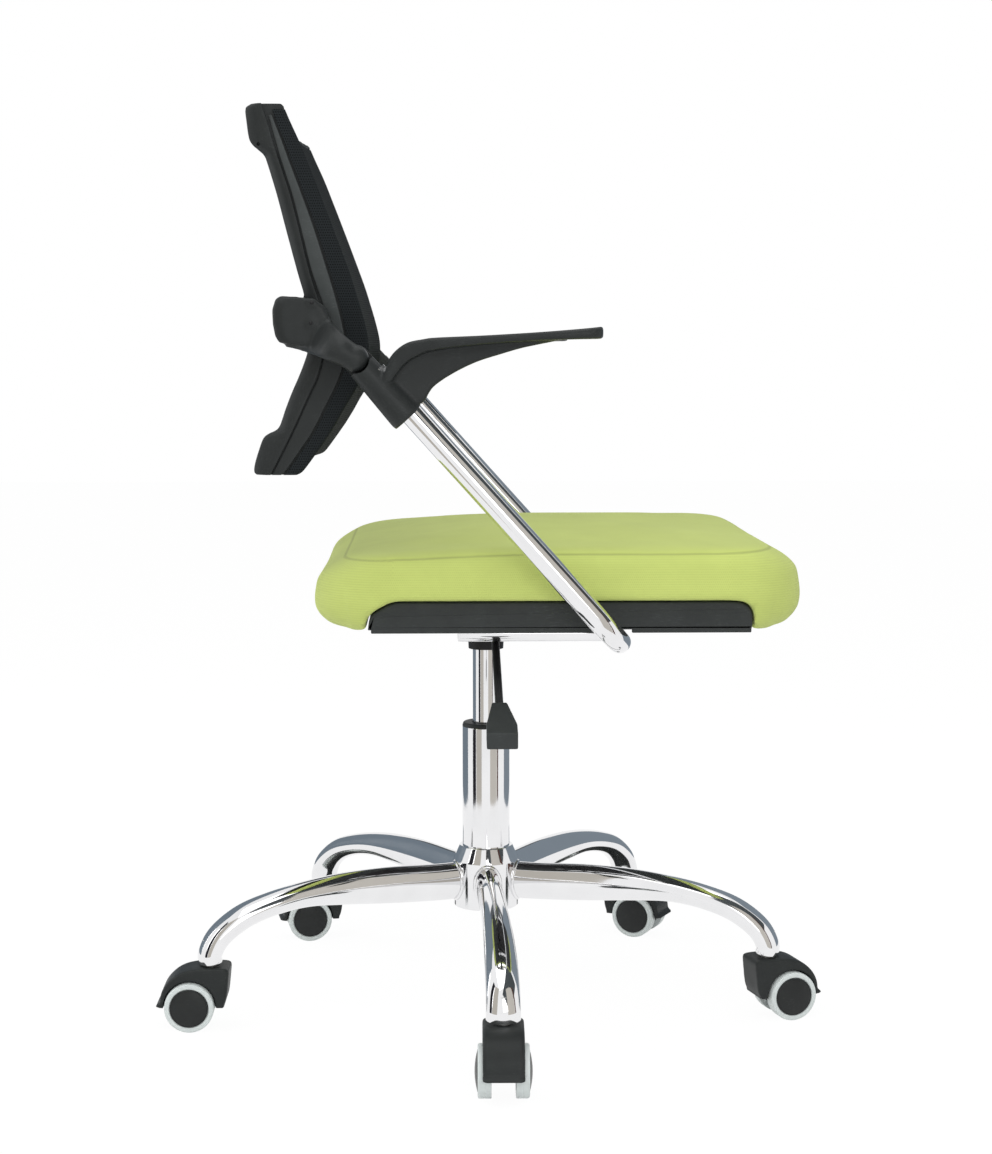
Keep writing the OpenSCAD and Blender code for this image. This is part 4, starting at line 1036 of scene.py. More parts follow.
def cushion_cage(s, shrink):
    """The cushion's plain closed form, a little smaller than it is once filled."""
    rings = [side_ring(s, *row, shrink) for row in smooth_rows(SIDE_SHARES, 3)]
    rings += [crown_ring(s, *row) for row in CROWN_SHARES]
    n, count = len(rings[0]), len(rings)
    foot, last = n * count, n * (count - 1)
    verts = [p for ring in rings for p in ring]
    verts += [cushion_point(s, 0, 0, 0), cushion_point(s, 0, 0, s.height + s.crown)]
    faces = bridges(n, count - 1, count)
    faces += [(foot, (j + 1) % n, j) for j in range(n)]
    faces += [(foot + 1, last + j, last + (j + 1) % n) for j in range(n)]
    return closed_up(mesh_of("cushion", verts, faces))


def filled_out(mesh, most, held):
    """The mesh after cloth simulation with air in it; held scales each point's way from 0 to 1."""
    pressure, frames = 4.0, 20
    scene = bpy.context.scene
    obj = thing("cushion", mesh)
    cloth = obj.modifiers.new("Fill", "CLOTH")
    cloth.settings.use_pressure = True
    cloth.settings.uniform_pressure_force = pressure
    cloth.settings.effector_weights.gravity = 0.0
    cloth.point_cache.frame_start = 1
    cloth.point_cache.frame_end = frames
    for number in range(1, frames + 1):
        scene.frame_set(number)
    graph = bpy.context.evaluated_depsgraph_get()
    after = bpy.data.meshes.new_from_object(obj.evaluated_get(graph))
    start, end = coordinates(mesh), coordinates(after)
    obj.modifiers.clear()
    scene.frame_set(1)
    bpy.data.objects.remove(obj)
    bpy.data.meshes.remove(after)
    way = end - start
    far = np.linalg.norm(way, axis=1)
    limit = most * np.tanh(far / most) / np.maximum(far, 1e-9)
    set_coordinates(mesh, start + way * (limit * held)[:, None])
    return mesh


def cushion_seam(s, mesh):
    """Draws the sewn edge in, and keeps each point's distance from it for the painted shadow line in the
    cloth's material.
    """
    beside, far, parts = 0.024, 1.0, 60
    ring = np.array(smooth_loop(side_ring(s, *SEAM_SHARES), 4))
    out = outward(ring[:, :2])
    co = coordinates(mesh)
    nearest = np.concatenate([
        np.argmin(((part[:, None, :2] - ring[None, :, :2]) ** 2).sum(axis=2), axis=1)
        for part in np.array_split(co, parts)])
    aside = ((co[:, :2] - ring[nearest, :2]) * out[nearest]).sum(axis=1)
    above = co[:, 2] - ring[nearest, 2]
    away = np.where(np.abs(aside + above) < beside, np.abs(above - aside) * math.sqrt(0.5), far)
    drawn = s.seam_depth * np.exp(-(away / s.seam_width) ** 2) * np.abs(out[nearest, 1]) ** 2
    set_coordinates(mesh, co - read(mesh.vertex_normals, "vector", 3) * drawn[:, None])
    mesh.attributes.new("seam", "FLOAT", "POINT").data.foreach_set("value", away.astype(np.float32))


def cushion_uv(s, mesh):
    """A UV in metres: plan on top, way round and height on the sides."""
    level = 0.72
    co = coordinates(mesh)
    a, b, r = s.depth / 2, s.width / 2, s.corner
    x, y = co[:, 0] - s.middle, co[:, 1]
    cx, cy = np.clip(x, -(a - r), a - r), np.clip(y, -(b - r), b - r)
    angle = np.arctan2(y - cy, x - cx)
    angle = np.where((np.abs(x) < a - r) & (np.abs(y) < b - r), np.arctan2(y, x), angle)
    way_round = r * angle - cx * np.sin(angle) + cy * np.cos(angle)
    up = np.abs(read(mesh.vertex_normals, "vector", 3)[:, 2]) > level
    index = read(mesh.loops, "vertex_index", kind=int)
    totals = read(mesh.polygons, "loop_total", kind=int)
    face = np.repeat(np.arange(len(totals)), totals)
    flat = np.bincount(face, up[index]) / totals > 0.5
    set_uv(mesh, np.where(flat[face][:, None], np.stack([x, y], 1)[index],
                          np.stack([way_round, co[:, 2]], 1)[index]))


class CHAIR_OT_cushion(ChairOperator, bpy.types.Operator):
    """Padded seat cushion, filled out by cloth simulation over its tray"""
    bl_idname = "chair.cushion"
    bl_label = "Cushion"

    def execute(self, context):
        s = context.scene.chair_seat
        room, below, beyond, quick_voxel, fade = 0.0015, 0.01, 0.3, 0.009, 0.02
        foot = s.level - below
        pocket = [(-s.tray_rear - room, foot), *tray_outline(s, room), (s.tray_front + room, foot)]
        opening = skin("pocket", [[(x, y, z) for x, z in pocket] for y in (-beyond, beyond)])
        body = cut("cushion", cushion_cage(s, s.swell * 0.2), [opening])
        body = remeshed("cushion", body, s.voxel, 2)
        co = coordinates(body)
        near = np.clip((co[:, 2] - (s.level + s.tray_height)) / fade, 0.0, 1.0)
        inside = (co[:, 0] > -s.tray_rear - fade) & (co[:, 0] < s.tray_front + fade)
        body = filled_out(body, s.swell, np.where(inside, near, 1.0))
        obj = thing("cushion", body)
        fine = obj.modifiers.new("Fine", "SUBSURF")
        fine.levels = fine.render_levels = 1
        body = baked("cushion", obj)
        cushion_uv(s, body)
        cushion_seam(s, body)
        cushion = piece("seat_cushion_cover", body, "seat", "seat_fabric", ["seat_cushion"], None)
        return {"FINISHED"}


def oval_ring(half_width, half_height, inset):
    """An upright oval with straight top and bottom, drawn in by the inset."""
    turn_n, r = 14, half_height - inset
    return [(side * (half_width - half_height) + side * r * math.sin(a), side * r * math.cos(a))
            for side in (1, -1) for a in (math.pi * k / turn_n for k in range(turn_n + 1))]


class CHAIR_OT_tray(ChairOperator, bpy.types.Operator):
    """Seat tray with its rims, steel plate, rails and screws"""
    bl_idname = "chair.tray"
    bl_label = "Tray, plate and rails"

    def execute(self, context):
        s, t = context.scene.chair_seat, context.scene.chair_tube
        half = s.tray_width / 2
        outline = rounded_corners(tray_outline(s), 0.002, 2, closed=True)
        parts = [pillow("tray", outline, -half, half, 0.0022, 4, 2)]
        rim, thick, skin_gap, room = s.low, 0.0024, 0.0002, 0.001
        spans = [(-s.tray_rear + 0.003, t.cross_x - t.diameter / 2 - room),
                 (t.cross_x + t.diameter / 2 + room, s.tray_front - room / 2)]
        for start, end in spans:
            outline = rounded_corners([(start, s.level - rim), (end, s.level - rim), (end, s.level + rim),
                                       (start, s.level + rim)], 0.0012, 3, closed=True)
            edge = pillow("rim", outline, -half + skin_gap, -half + thick, 0.0004, 2)
            parts += [edge, mirrored(edge)]
        piece("tray", joined("tray", parts), "seat", "dark_shell", ["seat_shell", "seat_board"], 35)
        low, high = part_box("seat_rails")
        wall, lip, half_w = 0.0015, 0.0004, 0.012
        half_h = (high.z - low.z) / 2
        middle_z, middle_y = (high.z + low.z) / 2, high.y - half_w
        rings = [(low.x + lip, 0.0), (t.cross_x, 0.0), (t.cross_x, wall), (low.x + lip, wall),
                 (low.x, wall * 0.7), (low.x, wall * 0.3)]
        rails = [skin("rail", [[(x, side * middle_y + y, middle_z + z)
                                for y, z in oval_ring(half_w, half_h, inset)] for x, inset in rings],
                      loop=True) for side in (1, -1)]
        piece("rails", joined("rails", rails), "seat", "chrome", ["seat_rails"], 35)
        paint_node("black_steel", "seat_plate")
        paint_node("bright_steel", "seat_screws")
        return {"FINISHED"}


def arm_way(t):
    """The way up a sloped arm of the tube."""
    return Vector((-math.cos(t.slope), 0, math.sin(t.slope)))


class CHAIR_OT_tube(ChairOperator, bpy.types.Operator):
    """The one chromed tube that carries the arms and the seat"""
    bl_idname = "chair.tube"
    bl_label = "Frame tube"

    def execute(self, context):
        t = context.scene.chair_tube
        cross, up, bend = Vector((t.cross_x, 0, t.cross_z)), arm_way(t), t.bend
        half = [cross + up * d + Vector((0, t.half_width, 0)) for d in np.linspace(t.arm, bend, 12)[:-1]]
        half += [cross + up * (bend * (1 - math.sin(a)))
                 + Vector((0, t.half_width - bend + bend * math.cos(a), 0))
                 for a in np.linspace(0, QUARTER, 25)]
        path = half + [Vector((p.x, -p.y, p.z)) for p in half[::-1]]
        mesh = bar("tube", path, t.diameter / 2, "chrome", 56)
        piece("tube_frame", mesh, "seat", "chrome", ["frame_tube"], 50)
        return {"FINISHED"}


# Armrests

# Along the pad: its top and its underside, forward and up in shares of its length and its rise
PAD_TOP = [(0.00, -0.46), (0.035, -0.265), (0.105, -0.145), (0.19, -0.105), (0.25, -0.092),
           (0.47, -0.072), (0.70, -0.047), (0.89, -0.02), (1.00, 0.00)]
PAD_LOW = [(0.045, -0.46), (0.11, -0.31), (0.19, -0.225), (0.235, -0.205), (0.29, -0.185),
           (0.47, -0.148), (0.69, -0.122), (0.88, -0.110), (1.00, -0.106)]
PAD_WIDTH = [0.50, 0.58, 0.72, 0.82, 0.90, 1.0, 1.0, 1.0, 1.0]
GUSSET = [(0.04, -0.40), (0.12, -0.25), (0.28, -0.15), (0.66, -0.09), (0.85, -0.095),
          (0.65, -0.175), (0.535, -0.235), (0.425, -0.30), (0.315, -0.40), (0.23, -0.51),
          (0.185, -0.635), (0.12, -0.60)]
PAD_RISE = 0.5446


def pad_points(a, shares):
    rise = a.pad_length * PAD_RISE
    return [(a.tip_x - a.pad_length + a.pad_length * u, a.tip_z + rise * v) for u, v in shares]


def pad_mesh(a, centre_y):
    """The armrest's pad: a crowned bar that widens from the sleeve to a rounded tip."""
    tip_r, tip_share, edge, crown = 0.014, 0.9, 0.005, 0.0008
    rows = smooth_rows([(*p, *q, w) for p, q, w in
                        zip(pad_points(a, PAD_TOP), pad_points(a, PAD_LOW), PAD_WIDTH)], 6)
    rings = []
    for row in rows:
        top, low, width = Vector((row[0], 0, row[1])), Vector((row[2], 0, row[3])), row[4] * a.pad_width
        from_tip = a.tip_x - row[0]
        if from_tip < tip_r:
            width -= 2 * tip_r * (1 - math.sqrt(max(0.0, 1 - (1 - from_tip / tip_r) ** 2))) * tip_share
        middle, half = (top + low) / 2, (top - low) / 2
        w, thick, up = width / 2, half.length, half.normalized()
        corners = rounded_corners([(-w, -thick), (w, -thick), (w, thick), (-w, thick)],
                                  min(edge, thick * 0.75), 5, closed=True)
        rings.append([tuple(middle + up * (v - crown * (u / w) ** 2 * (v > 0))
                            + Vector((0, centre_y + u, 0))) for u, v in corners])
    return skin("pad", rings)


def armrest_mesh(a, t):
    """One moulding: pad, gusset, sleeve and the cheek beside the knuckle."""
    play, cheek_w, lip, beyond = 0.0005, 0.0088, 0.001, 0.02
    inner = t.half_width - a.neck_width / 2 - play
    foot = PIVOT - arm_way(t) * a.sleeve_length
    stand = Matrix.Rotation(t.slope - QUARTER, 4, "Y")
    on_tube = Matrix.Translation(foot + Vector((0, t.half_width, 0))) @ stand
    low_r, top_r, long = a.sleeve_low / 2, a.sleeve_top / 2, a.sleeve_length
    sleeve = turned("sleeve", rounded_corners([
        (0, -lip), (low_r - 0.0006, -lip), (low_r, 0.0015), (low_r, 0.006), (top_r, long), (0, long)],
        [0, lip, lip, 0.002, 0.003, 0], 4), 64)
    cheek = turned("cheek", [(0, 0), (top_r, 0), (top_r, cheek_w), (0, cheek_w)], 48)
    box = [(x, y, z) for x in (-top_r, top_r) for y in (inner - cheek_w, inner + a.neck_width / 2)
           for z in (long * 0.3, long)]
    faces = [(0, 1, 3, 2), (4, 6, 7, 5), (0, 4, 5, 1), (2, 3, 7, 6), (0, 2, 6, 4), (1, 5, 7, 3)]
    parts = [
        pad_mesh(a, t.half_width + a.pad_width * 0.06),
        pillow("gusset", smooth_loop(pad_points(a, GUSSET), 3), t.half_width - a.gusset / 2,
               t.half_width + a.gusset / 2, 0.002),
        moved(sleeve, on_tube),
        moved(cheek, Matrix.Translation((PIVOT.x, inner - cheek_w, PIVOT.z)) @ ALONG_Y),
        moved(closed_up(mesh_of("cheek_arm", box, faces)), Matrix.Translation(foot) @ stand)]
    whole = remeshed("armrest", joined("armrest", parts), 0.0016)
    barrel, level = a.neck_width / 2 + 0.001, -a.neck_width / 2 * 0.75
    rear, front, high, wide = -0.055, 0.045, 0.09, 0.1
    start = math.asin(level / barrel)
    arc = [(barrel * math.cos(t), barrel * math.sin(t)) for t in np.linspace(-math.pi - start, start, 25)]
    outline = [(rear, level)] + arc + [(front, level), (front, high), (rear, high)]
    neck_room = skin("neck_room", [[(x, y, z) for x, z in outline] for y in (0.0, wide)])
    neck_room = moved(neck_room, Matrix.Translation((PIVOT.x, inner, PIVOT.z)) @ stand)
    tube, depth = t.diameter / 2, 0.052
    bore = turned("bore", [(0, -beyond), (tube, -beyond), (tube, depth), (0, depth)], 56)
    return cut("armrest", whole, [neck_room, moved(bore, on_tube)])


class CHAIR_OT_armrests(ChairOperator, bpy.types.Operator):
    """Two moulded armrests on the frame tube"""
    bl_idname = "chair.armrests"
    bl_label = "Armrests"

    def execute(self, context):
        left = armrest_mesh(context.scene.chair_arms, context.scene.chair_tube)
        for side, mesh in (("left", left), ("right", mirrored(left))):
            piece("armrest_%s_moulding" % side, mesh, "seat", "black_moulding", ["armrest_" + side], 50)
        paint_node("black_steel", "pivot_pins")
        return {"FINISHED"}


# Back

# Up the back's side: height, front, rear and depth of the mesh's side, in shares of the named sizes
BACK_SHARES = [
    (0.000, 0.640, 0.950, 0.85), (0.008, 0.600, 0.968, 0.95), (0.030, 0.550, 0.962, 0.97),
    (0.068, 0.474, 0.930, 1.00), (0.100, 0.412, 0.895, 1.00), (0.114, 0.387, 0.845, 1.00),
    (0.124, 0.370, 0.785, 1.02), (0.147, 0.331, 0.757, 1.05), (0.181, 0.279, 0.725, 1.10),
    (0.226, 0.203, 0.676, 1.18), (0.270, 0.140, 0.622, 1.25), (0.315, 0.100, 0.574, 1.30),
    (0.350, 0.092, 0.548, 1.32), (0.386, 0.103, 0.546, 1.30), (0.438, 0.138, 0.560, 1.26),
    (0.490, 0.180, 0.580, 1.22), (0.548, 0.230, 0.625, 1.20), (0.663, 0.346, 0.708, 1.05),
    (0.761, 0.448, 0.777, 1.00), (0.852, 0.545, 0.852, 0.97), (0.868, 0.562, 0.874, 0.96),
    (0.880, 0.576, 0.915, 0.95), (0.893, 0.591, 0.955, 0.93), (0.912, 0.614, 0.980, 0.90),
    (0.955, 0.668, 0.996, 0.84), (0.978, 0.695, 1.003, 0.80), (0.984, 0.702, 1.002, 0.78)]
LIP_SHARES = [(0.992, 0.711, 0.996, 0.76), (1.000, 0.730, 0.962, 0.74)]
# Height and place of the rear rail's front edge, and of the rib's rear edge; the rib's paler colour is a
# painted highlight
RAIL_SEAM = [
    (0.000, 0.842), (0.008, 0.830), (0.068, 0.745), (0.118, 0.676), (0.177, 0.600), (0.224, 0.540),
    (0.270, 0.482), (0.350, 0.432), (0.440, 0.444), (0.548, 0.534), (0.663, 0.609), (0.761, 0.677),
    (0.862, 0.767), (0.942, 0.831), (1.000, 0.882)]
RIB_SEAM = [
    (0.300, 0.380), (0.440, 0.421), (0.548, 0.516), (0.663, 0.594), (0.761, 0.661), (0.862, 0.748),
    (0.966, 0.826)]
# Heights between which the rib with its painted highlight shows, and the height up to which the plain band
# does
RIB_LOW, RIB_HIGH, BAND_HIGH = 0.30, 0.972, 0.345
# Place and height of the small hole in the upper block
HOLE_PLACE = (0.908, 0.893)


def back_x(b, share):
    return b.front - b.lean * share


def front_x(b, share, y, inset=0.0):
    """The bowed front of the back at a distance from its middle."""
    return back_x(b, share) - inset - b.bow * (1 - (2 * y / b.width) ** 2)


def seam_x(b, seam):
    """Place of a seam for any row up the back's side."""
    rows = np.array(smooth_rows(seam, 4))
    return lambda row: back_x(b, float(np.interp(row[0], rows[:, 0], rows[:, 1])))


class CHAIR_OT_back_mesh(ChairOperator, bpy.types.Operator):
    """Stretched mesh cover over the back's front and sides"""
    bl_idname = "chair.back_mesh"
    bl_label = "Back mesh"

    def execute(self, context):
        b = context.scene.chair_back
        half, thick, count = b.width / 2, b.mesh_thickness, 40
        round_out, round_in, side_face, stretch = 0.005, 0.003, 0.004, 1.06
        rings = []
        for row in smooth_rows(BACK_SHARES, 4):
            z = b.low + b.height * row[0]
            back = front_x(b, row[1], half, b.mesh_side * row[3])

            def shell(limit, inset, rounding):
                ys = [limit * (2 * k / count - 1) for k in range(count + 1)]
                face = [(front_x(b, row[1], y, inset), y) for y in ys]
                return rounded_corners([(back, -limit)] + face + [(back, limit)],
                                       [0, rounding] + [0.0] * (count - 1) + [rounding, 0], 6)

            section = shell(half, 0, round_out) + shell(half - thick, thick, round_in)[::-1]
            rings.append([(x, y, z) for x, y in section])
        mesh = skin("mesh", rings)
        co = coordinates(mesh)
        side = np.abs(co[:, 1]) > half - side_face
        u = np.where(side, co[:, 1] + np.sign(co[:, 1]) * -co[:, 0], co[:, 1])
        set_uv(mesh, np.stack([u, co[:, 2] * stretch], 1)[read(mesh.loops, "vertex_index", kind=int)])
        piece("back_mesh_cover", mesh, "back", "back_mesh_cloth", ["back_mesh"], 45)
        return {"FINISHED"}


def band_mesh(b, rows, start, end, fall, edge):
    """A band up the back's side between two lines; its face falls away towards the rear by fall."""
    half, depth, front_edge, most = b.width / 2, 0.012, 0.0010, 0.4
    rings = []
    for row in rows:
        x0, x1, z = start(row), end(row), b.low + b.height * row[0]
        wide = x1 - x0
        face = [(x0 + wide * t, half - fall * (1 - t) ** 2) for t in np.linspace(0, 1, 7)]
        radius = [0, min(edge, wide * most)] + [0.0] * 5 + [min(front_edge, wide * most), 0]
        ring = rounded_corners([(x0, half - depth)] + face + [(x1, half - depth)], radius, 5, closed=True)
        rings.append([(x, y, z) for x, y in ring])
    return skin("band", rings)


class CHAIR_OT_back_frame(ChairOperator, bpy.types.Operator):
    """Moulded back frame: rounded rear rails, ribs with a painted highlight and the plain bands below the
    yoke
    """
    bl_idname = "chair.back_frame"
    bl_label = "Back frame"

    def execute(self, context):
        b = context.scene.chair_back
        rows = smooth_rows(BACK_SHARES + LIP_SHARES, 4)
        body = remeshed("frame", node_mesh("back_frame"), 0.0024)
        room, fall, rear_edge = 0.004, 0.006, 0.012
        co, table = coordinates(body), np.array(rows)
        rear = back_x(b, np.interp((co[:, 2] - b.low) / b.height, table[:, 0], table[:, 2]))
        limit = b.width / 2 - room - fall * np.clip(1 - (co[:, 0] - rear) / rear_edge, 0, 1)
        co[:, 1] = np.clip(co[:, 1], -limit, limit)
        set_coordinates(body, co)
        piece("back_frame_moulding", body, "back", "black_moulding", ["back_frame"], None)
        rail_seam, rib_seam = seam_x(b, RAIL_SEAM), seam_x(b, RIB_SEAM)

        def mesh_edge(row):
            return front_x(b, row[1], b.width / 2, b.mesh_side * row[3]) - b.groove

        rail = band_mesh(b, rows, lambda r: back_x(b, r[2]) - 0.0003, rail_seam, 0.009, 0.004)
        r, deep, out = 0.0017, 0.012, 0.002
        hole = turned("hole", [(0, -deep), (r, -deep), (r, out), (0, out)], 24)
        lay = Matrix.Translation((back_x(b, HOLE_PLACE[0]), b.width / 2, b.low + b.height * HOLE_PLACE[1]))
        rail = cut("rail", rail, [moved(hole, lay @ ALONG_Y)])
        # The rib takes the paler moulding, a painted highlight
        rib = band_mesh(b, [r for r in rows if RIB_LOW < r[0] < RIB_HIGH], rib_seam,
                        lambda r: max(mesh_edge(r), rib_seam(r) + 0.0012), 0.0016, 0.0010)
        low_band = band_mesh(b, [r for r in rows if r[0] < BAND_HIGH],
                             lambda r: rail_seam(r) + b.groove * 0.6, mesh_edge, 0.0008, 0.0010)
        for name, mesh, look in (("rail", rail, "black_moulding"), ("rib", rib, "rib_painted_highlight"),
                                 ("low", low_band, "black_moulding")):
            piece("back_%s_bands" % name, joined(name, [mesh, mirrored(mesh)]), "back", look)
        return {"FINISHED"}


# Rear edge of a head of the yoke, in shares of its length and height
HEAD_REAR = [(0.07, -0.04), (0.00, 0.14), (-0.04, 0.40), (-0.05, 0.70), (0.01, 0.93), (0.10, 1.02)]


def screw_places():
    """Middle of each screw's outer end in the heads of the yoke, and its turn."""
    screws = coordinates(frame["nodes"]["back_screws"].data)
    face = np.abs(screws[:, 1]).max()
    ends = screws[np.abs(screws[:, 1]) > face - 0.0003]
    split = (ends[:, 2].max() + ends[:, 2].min()) / 2
    places = []
    for side in (1, -1):
        for part in (ends[:, 2] > split, ends[:, 2] < split):
            found = ends[part & (ends[:, 1] * side > 0)]
            x, z = (found.min(axis=0) + found.max(axis=0))[[0, 2]] / 2
            places.append(((x, side * face, z), (-side * QUARTER, 0, 0)))
    return places


class CHAIR_OT_yoke(ChairOperator, bpy.types.Operator):
    """Yoke that carries the back on its two knuckles"""
    bl_idname = "chair.yoke"
    bl_label = "Yoke"

    def execute(self, context):
        y, places = context.scene.chair_yoke, screw_places()
        r, deep, flush = y.screw * 2.6, 0.006, 0.0002
        plug = turned("plug", [(0, -deep), (r, -deep), (r, -flush), (0, -flush)], 32)
        plugs = copies("plug", plug, places, "black_moulding")
        body = remeshed("yoke", joined("yoke", [node_mesh("back_yoke"), plugs]), 0.0018)
        co = coordinates(body)
        edge = np.array([(y.head_x + y.head_length * u, y.head_low + y.head_height * v)
                         for u, v in rounded_corners(HEAD_REAR, 0.1, 3)])
        away = np.full(len(co), 1.0)
        for start, end in zip(edge, edge[1:]):
            way = end - start
            t = np.clip(((co[:, [0, 2]] - start) @ way) / (way @ way), 0, 1)
            away = np.minimum(away, np.linalg.norm(co[:, [0, 2]] - start - t[:, None] * way, axis=1))
        half = y.head_width * 0.5
        outer = np.clip((np.abs(co[:, 1]) - y.head_inner - half) / half, 0, 1)
        drop = y.chamfer * np.clip(1 - away / (y.chamfer * 1.6), 0, 1) * outer
        co[:, 1] -= np.sign(co[:, 1]) * drop * 0.8
        set_coordinates(body, co)
        piece("yoke_moulding", body, "back", "black_moulding", ["back_yoke"], None)
        deep, crown = 0.004, 0.0010
        dome = turned("dome", [(0, -deep), (y.screw, -deep), (y.screw, flush), (y.screw * 0.8, crown * 0.7),
                               (y.screw * 0.35, crown), (0, crown)], 32)
        piece("back_screw_heads", copies("dome", dome, places, "black_steel"), "back", "black_steel",
              ["back_screws"], 50)
        return {"FINISHED"}


class CHAIR_OT_lever(ChairOperator, bpy.types.Operator):
    """Height lever and its moulded paddle"""
    bl_idname = "chair.lever"
    bl_label = "Height lever"

    def execute(self, context):
        paddle = remeshed("paddle", node_mesh("lever_paddle"), 0.0009)
        piece("paddle_moulding", paddle, "lever", "lever_black", ["lever_paddle"], None)
        paint_node("black_steel", "lever_rod")
        return {"FINISHED"}


# Stage

# Soft lamps: place, what each points at, width and height, and power
LAMPS = {
    "Overhead": ((0.2, -0.6, 2.6), (0.0, 0.0, 0.5), (2.4, 2.0), 19),
    "Left": ((-2.2, -1.4, 1.6), (0.0, 0.0, 0.55), (1.2, 1.8), 11),
    "Front": ((0.9, -2.8, 1.3), (0.0, 0.0, 0.4), (1.8, 1.6), 17),
    "Rear left": ((-2.3, 0.9, 1.1), (-0.2, 0.0, 0.7), (0.9, 1.6), 12)}
# Glowing panels beside the chair that only its reflections show, as painted reflections: tone, two ends in
# plan, lower and upper edge
FLAGS = {
    "Dark flag": ((0.02, 0.02, 0.025), (-0.98, -0.42), (-0.86, -0.72), 0.0, 1.3),
    "Grey flag right": ((0.22, 0.26, 0.30), (1.15, 0.10), (0.45, 1.10), 0.0, 1.4),
    "Grey flag left": ((0.18, 0.22, 0.26), (-0.45, 1.10), (-1.15, 0.15), 0.0, 1.4),
    "Warm flag left": ((0.52, 0.49, 0.44), (-0.84, -0.76), (-0.42, -1.05), 0.0, 1.3),
    "Warm flag right": ((0.58, 0.55, 0.50), (0.36, -1.08), (0.92, -0.72), 0.0, 1.3),
    "Brown flag": ((0.10, 0.05, 0.04), (0.94, -0.70), (1.02, -0.60), 0.0, 1.3),
    "Rear flag": ((0.10, 0.11, 0.12), (1.9, 1.7), (-1.9, 1.7), 1.1, 2.3)}
# A dark glowing panel ahead of and above the sloped arms, a painted reflection: its tone and its four
# corners
ARM_FLAG_TONE = (0.07, 0.08, 0.085)
ARM_FLAG = [(-0.03, -1.64, 1.46), (0.90, -1.64, 0.42), (1.57, 0.0, 1.02), (0.63, 0.0, 2.06)]
FLOOR_REACH = 9
FLOOR_TONE = 0.86
FLOOR_GLOW = 1.04
FLOOR_SEEN = 0.92
WORLD_LIGHT = 0.5
# Camera, solved from the photograph
CAMERA_PLACE = (-0.0512, -2.2393, 0.6852)
CAMERA_DOWN = 6.041
CAMERA_TURN = -1.581
CAMERA_LENS = 44.71
SENSOR_HEIGHT = 24.0


def emptied(owner):
    """The node tree of a material or world with nothing in it."""
    owner.use_nodes = True
    owner.node_tree.nodes.clear()
    return owner.node_tree


def seen_directly(tree):
    """One for rays from the camera, metal and glass, and zero for those that light things."""
    path = add(tree, "ShaderNodeLightPath", {}).outputs
    mirrored_rays = math_node(tree, "MAXIMUM", path["Is Glossy Ray"], path["Is Transmission Ray"])
    return math_node(tree, "MAXIMUM", path["Is Camera Ray"], mirrored_rays)


def either(tree, output, factor, a, b):
    """Leads a mix of two shaders to the output."""
    mix = add(tree, "ShaderNodeMixShader", {0: factor, 1: a.outputs[0], 2: b.outputs[0]})
    add(tree, output, {0: mix.outputs[0]})


def sheet(name, corners, material):
    """A flat panel of the stage."""
    panel = thing(name, mesh_of(name, corners, [(0, 1, 2, 3)]))
    panel.data.materials.append(material)
    return panel


def flag(name, tone, corners):
    """A studio flag: a panel that glows with its tone and only shows in reflections, as a painted
    reflection.
    """
    mat = bpy.data.materials.new(name)
    tree = emptied(mat)
    glow = add(tree, "ShaderNodeEmission", {"Color": (*tone, 1.0)})
    add(tree, "ShaderNodeOutputMaterial", {0: glow.outputs[0]})
    panel = sheet(name, corners, mat)
    panel.visible_camera = False
    panel.visible_diffuse = False
    panel.visible_shadow = False


def floor_material():
    """White to the camera and to reflections, and a plain matt floor to everything else."""
    mat = bpy.data.materials.new("Floor")
    tree = emptied(mat)
    matt = add(tree, "ShaderNodeBsdfDiffuse", {"Color": (FLOOR_TONE, FLOOR_TONE, FLOOR_TONE, 1)})
    glow = add(tree, "ShaderNodeEmission", {"Strength": FLOOR_GLOW})
    seen = math_node(tree, "MULTIPLY", seen_directly(tree), FLOOR_SEEN)
    either(tree, "ShaderNodeOutputMaterial", seen, matt, glow)
    return mat


def area_light(name, place, target, size, power):
    data = bpy.data.lights.new(name, "AREA")
    data.shape = "RECTANGLE"
    data.size, data.size_y = size
    data.energy = power
    obj = thing(name, data)
    obj.location = place
    obj.rotation_euler = (Vector(target) - Vector(place)).to_track_quat("-Z", "Y").to_euler()


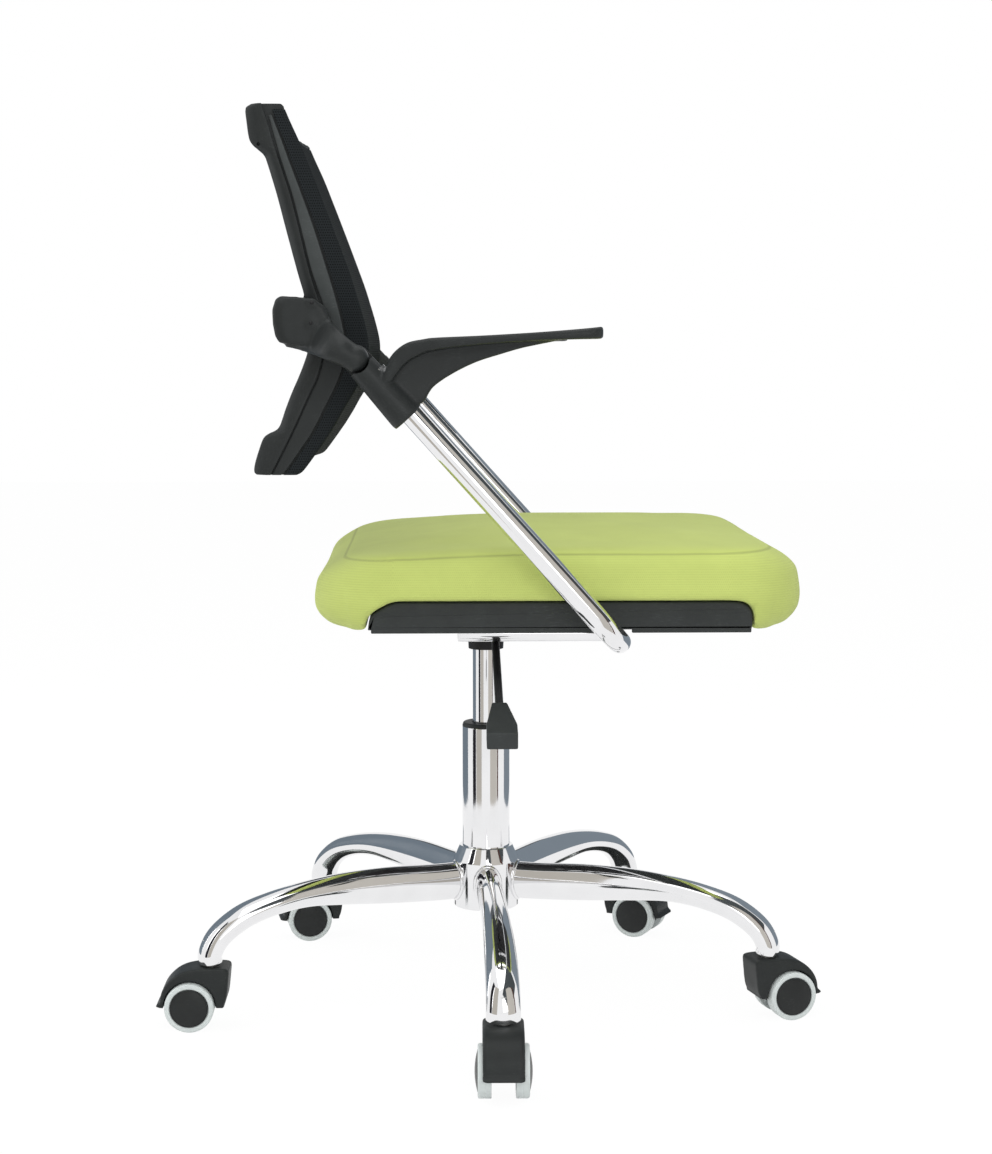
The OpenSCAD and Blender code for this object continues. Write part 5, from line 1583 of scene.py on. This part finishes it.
class CHAIR_OT_stage(ChairOperator, bpy.types.Operator):
    """Pale floor, soft lights and the camera"""
    bl_idname = "chair.stage"
    bl_label = "Stage"

    def execute(self, context):
        scene, far = context.scene, FLOOR_REACH
        scene.view_settings.view_transform = "Standard"
        sheet("floor", [(-far, -far, 0), (far, -far, 0), (far, far, 0), (-far, far, 0)], floor_material())
        scene.world = bpy.data.worlds.new("Studio")
        tree = emptied(scene.world)
        white = (1.0, 1.0, 1.0, 1.0)
        soft = add(tree, "ShaderNodeBackground", {"Color": white, "Strength": WORLD_LIGHT})
        seen = add(tree, "ShaderNodeBackground", {"Color": white, "Strength": 1.0})
        either(tree, "ShaderNodeOutputWorld", seen_directly(tree), soft, seen)
        for name, lamp in LAMPS.items():
            area_light(name, *lamp)
        for name, (tone, start, end, low, high) in FLAGS.items():
            flag(name, tone, [(*start, low), (*end, low), (*end, high), (*start, high)])
        flag("Arm flag", ARM_FLAG_TONE, ARM_FLAG)
        lens = bpy.data.cameras.new("Camera")
        lens.sensor_fit = "VERTICAL"
        lens.sensor_height = SENSOR_HEIGHT
        lens.lens = CAMERA_LENS
        camera = thing("Camera", lens)
        camera.location = CAMERA_PLACE
        camera.rotation_euler = (math.radians(90 - CAMERA_DOWN), 0.0, math.radians(CAMERA_TURN))
        scene.camera = camera
        return {"FINISHED"}


class CHAIR_PT_panel(bpy.types.Panel):
    """Lists the chair's pieces and sizes"""
    bl_idname = "CHAIR_PT_panel"
    bl_label = "Task chair"
    bl_space_type = "VIEW_3D"
    bl_region_type = "UI"
    bl_category = "Chair"

    def draw(self, context):
        for operator in STEPS:
            self.layout.operator(operator.bl_idname)
        for name in GROUPS:
            box = self.layout.box()
            group = getattr(context.scene, name)
            for prop in group.bl_rna.properties:
                if prop.identifier not in {"rna_type", "name"}:
                    box.prop(group, prop.identifier)


STEPS = (CHAIR_OT_stage, CHAIR_OT_base, CHAIR_OT_column, CHAIR_OT_casters, CHAIR_OT_tray,
         CHAIR_OT_cushion, CHAIR_OT_tube, CHAIR_OT_armrests, CHAIR_OT_back_frame,
         CHAIR_OT_back_mesh, CHAIR_OT_yoke, CHAIR_OT_lever)


def register():
    for group in GROUPS.values():
        bpy.utils.register_class(group)
    for name, group in GROUPS.items():
        setattr(bpy.types.Scene, name, PointerProperty(type=group))
    for cls in STEPS + (CHAIR_PT_panel,):
        bpy.utils.register_class(cls)


def unregister():
    for cls in (CHAIR_PT_panel,) + STEPS[::-1]:
        bpy.utils.unregister_class(cls)
    for name, group in GROUPS.items():
        delattr(bpy.types.Scene, name)
        bpy.utils.unregister_class(group)


def main():
    register()
    for step in STEPS:
        section, action = step.bl_idname.split(".")
        getattr(getattr(bpy.ops, section), action)()


if __name__ == "__main__":
    main()
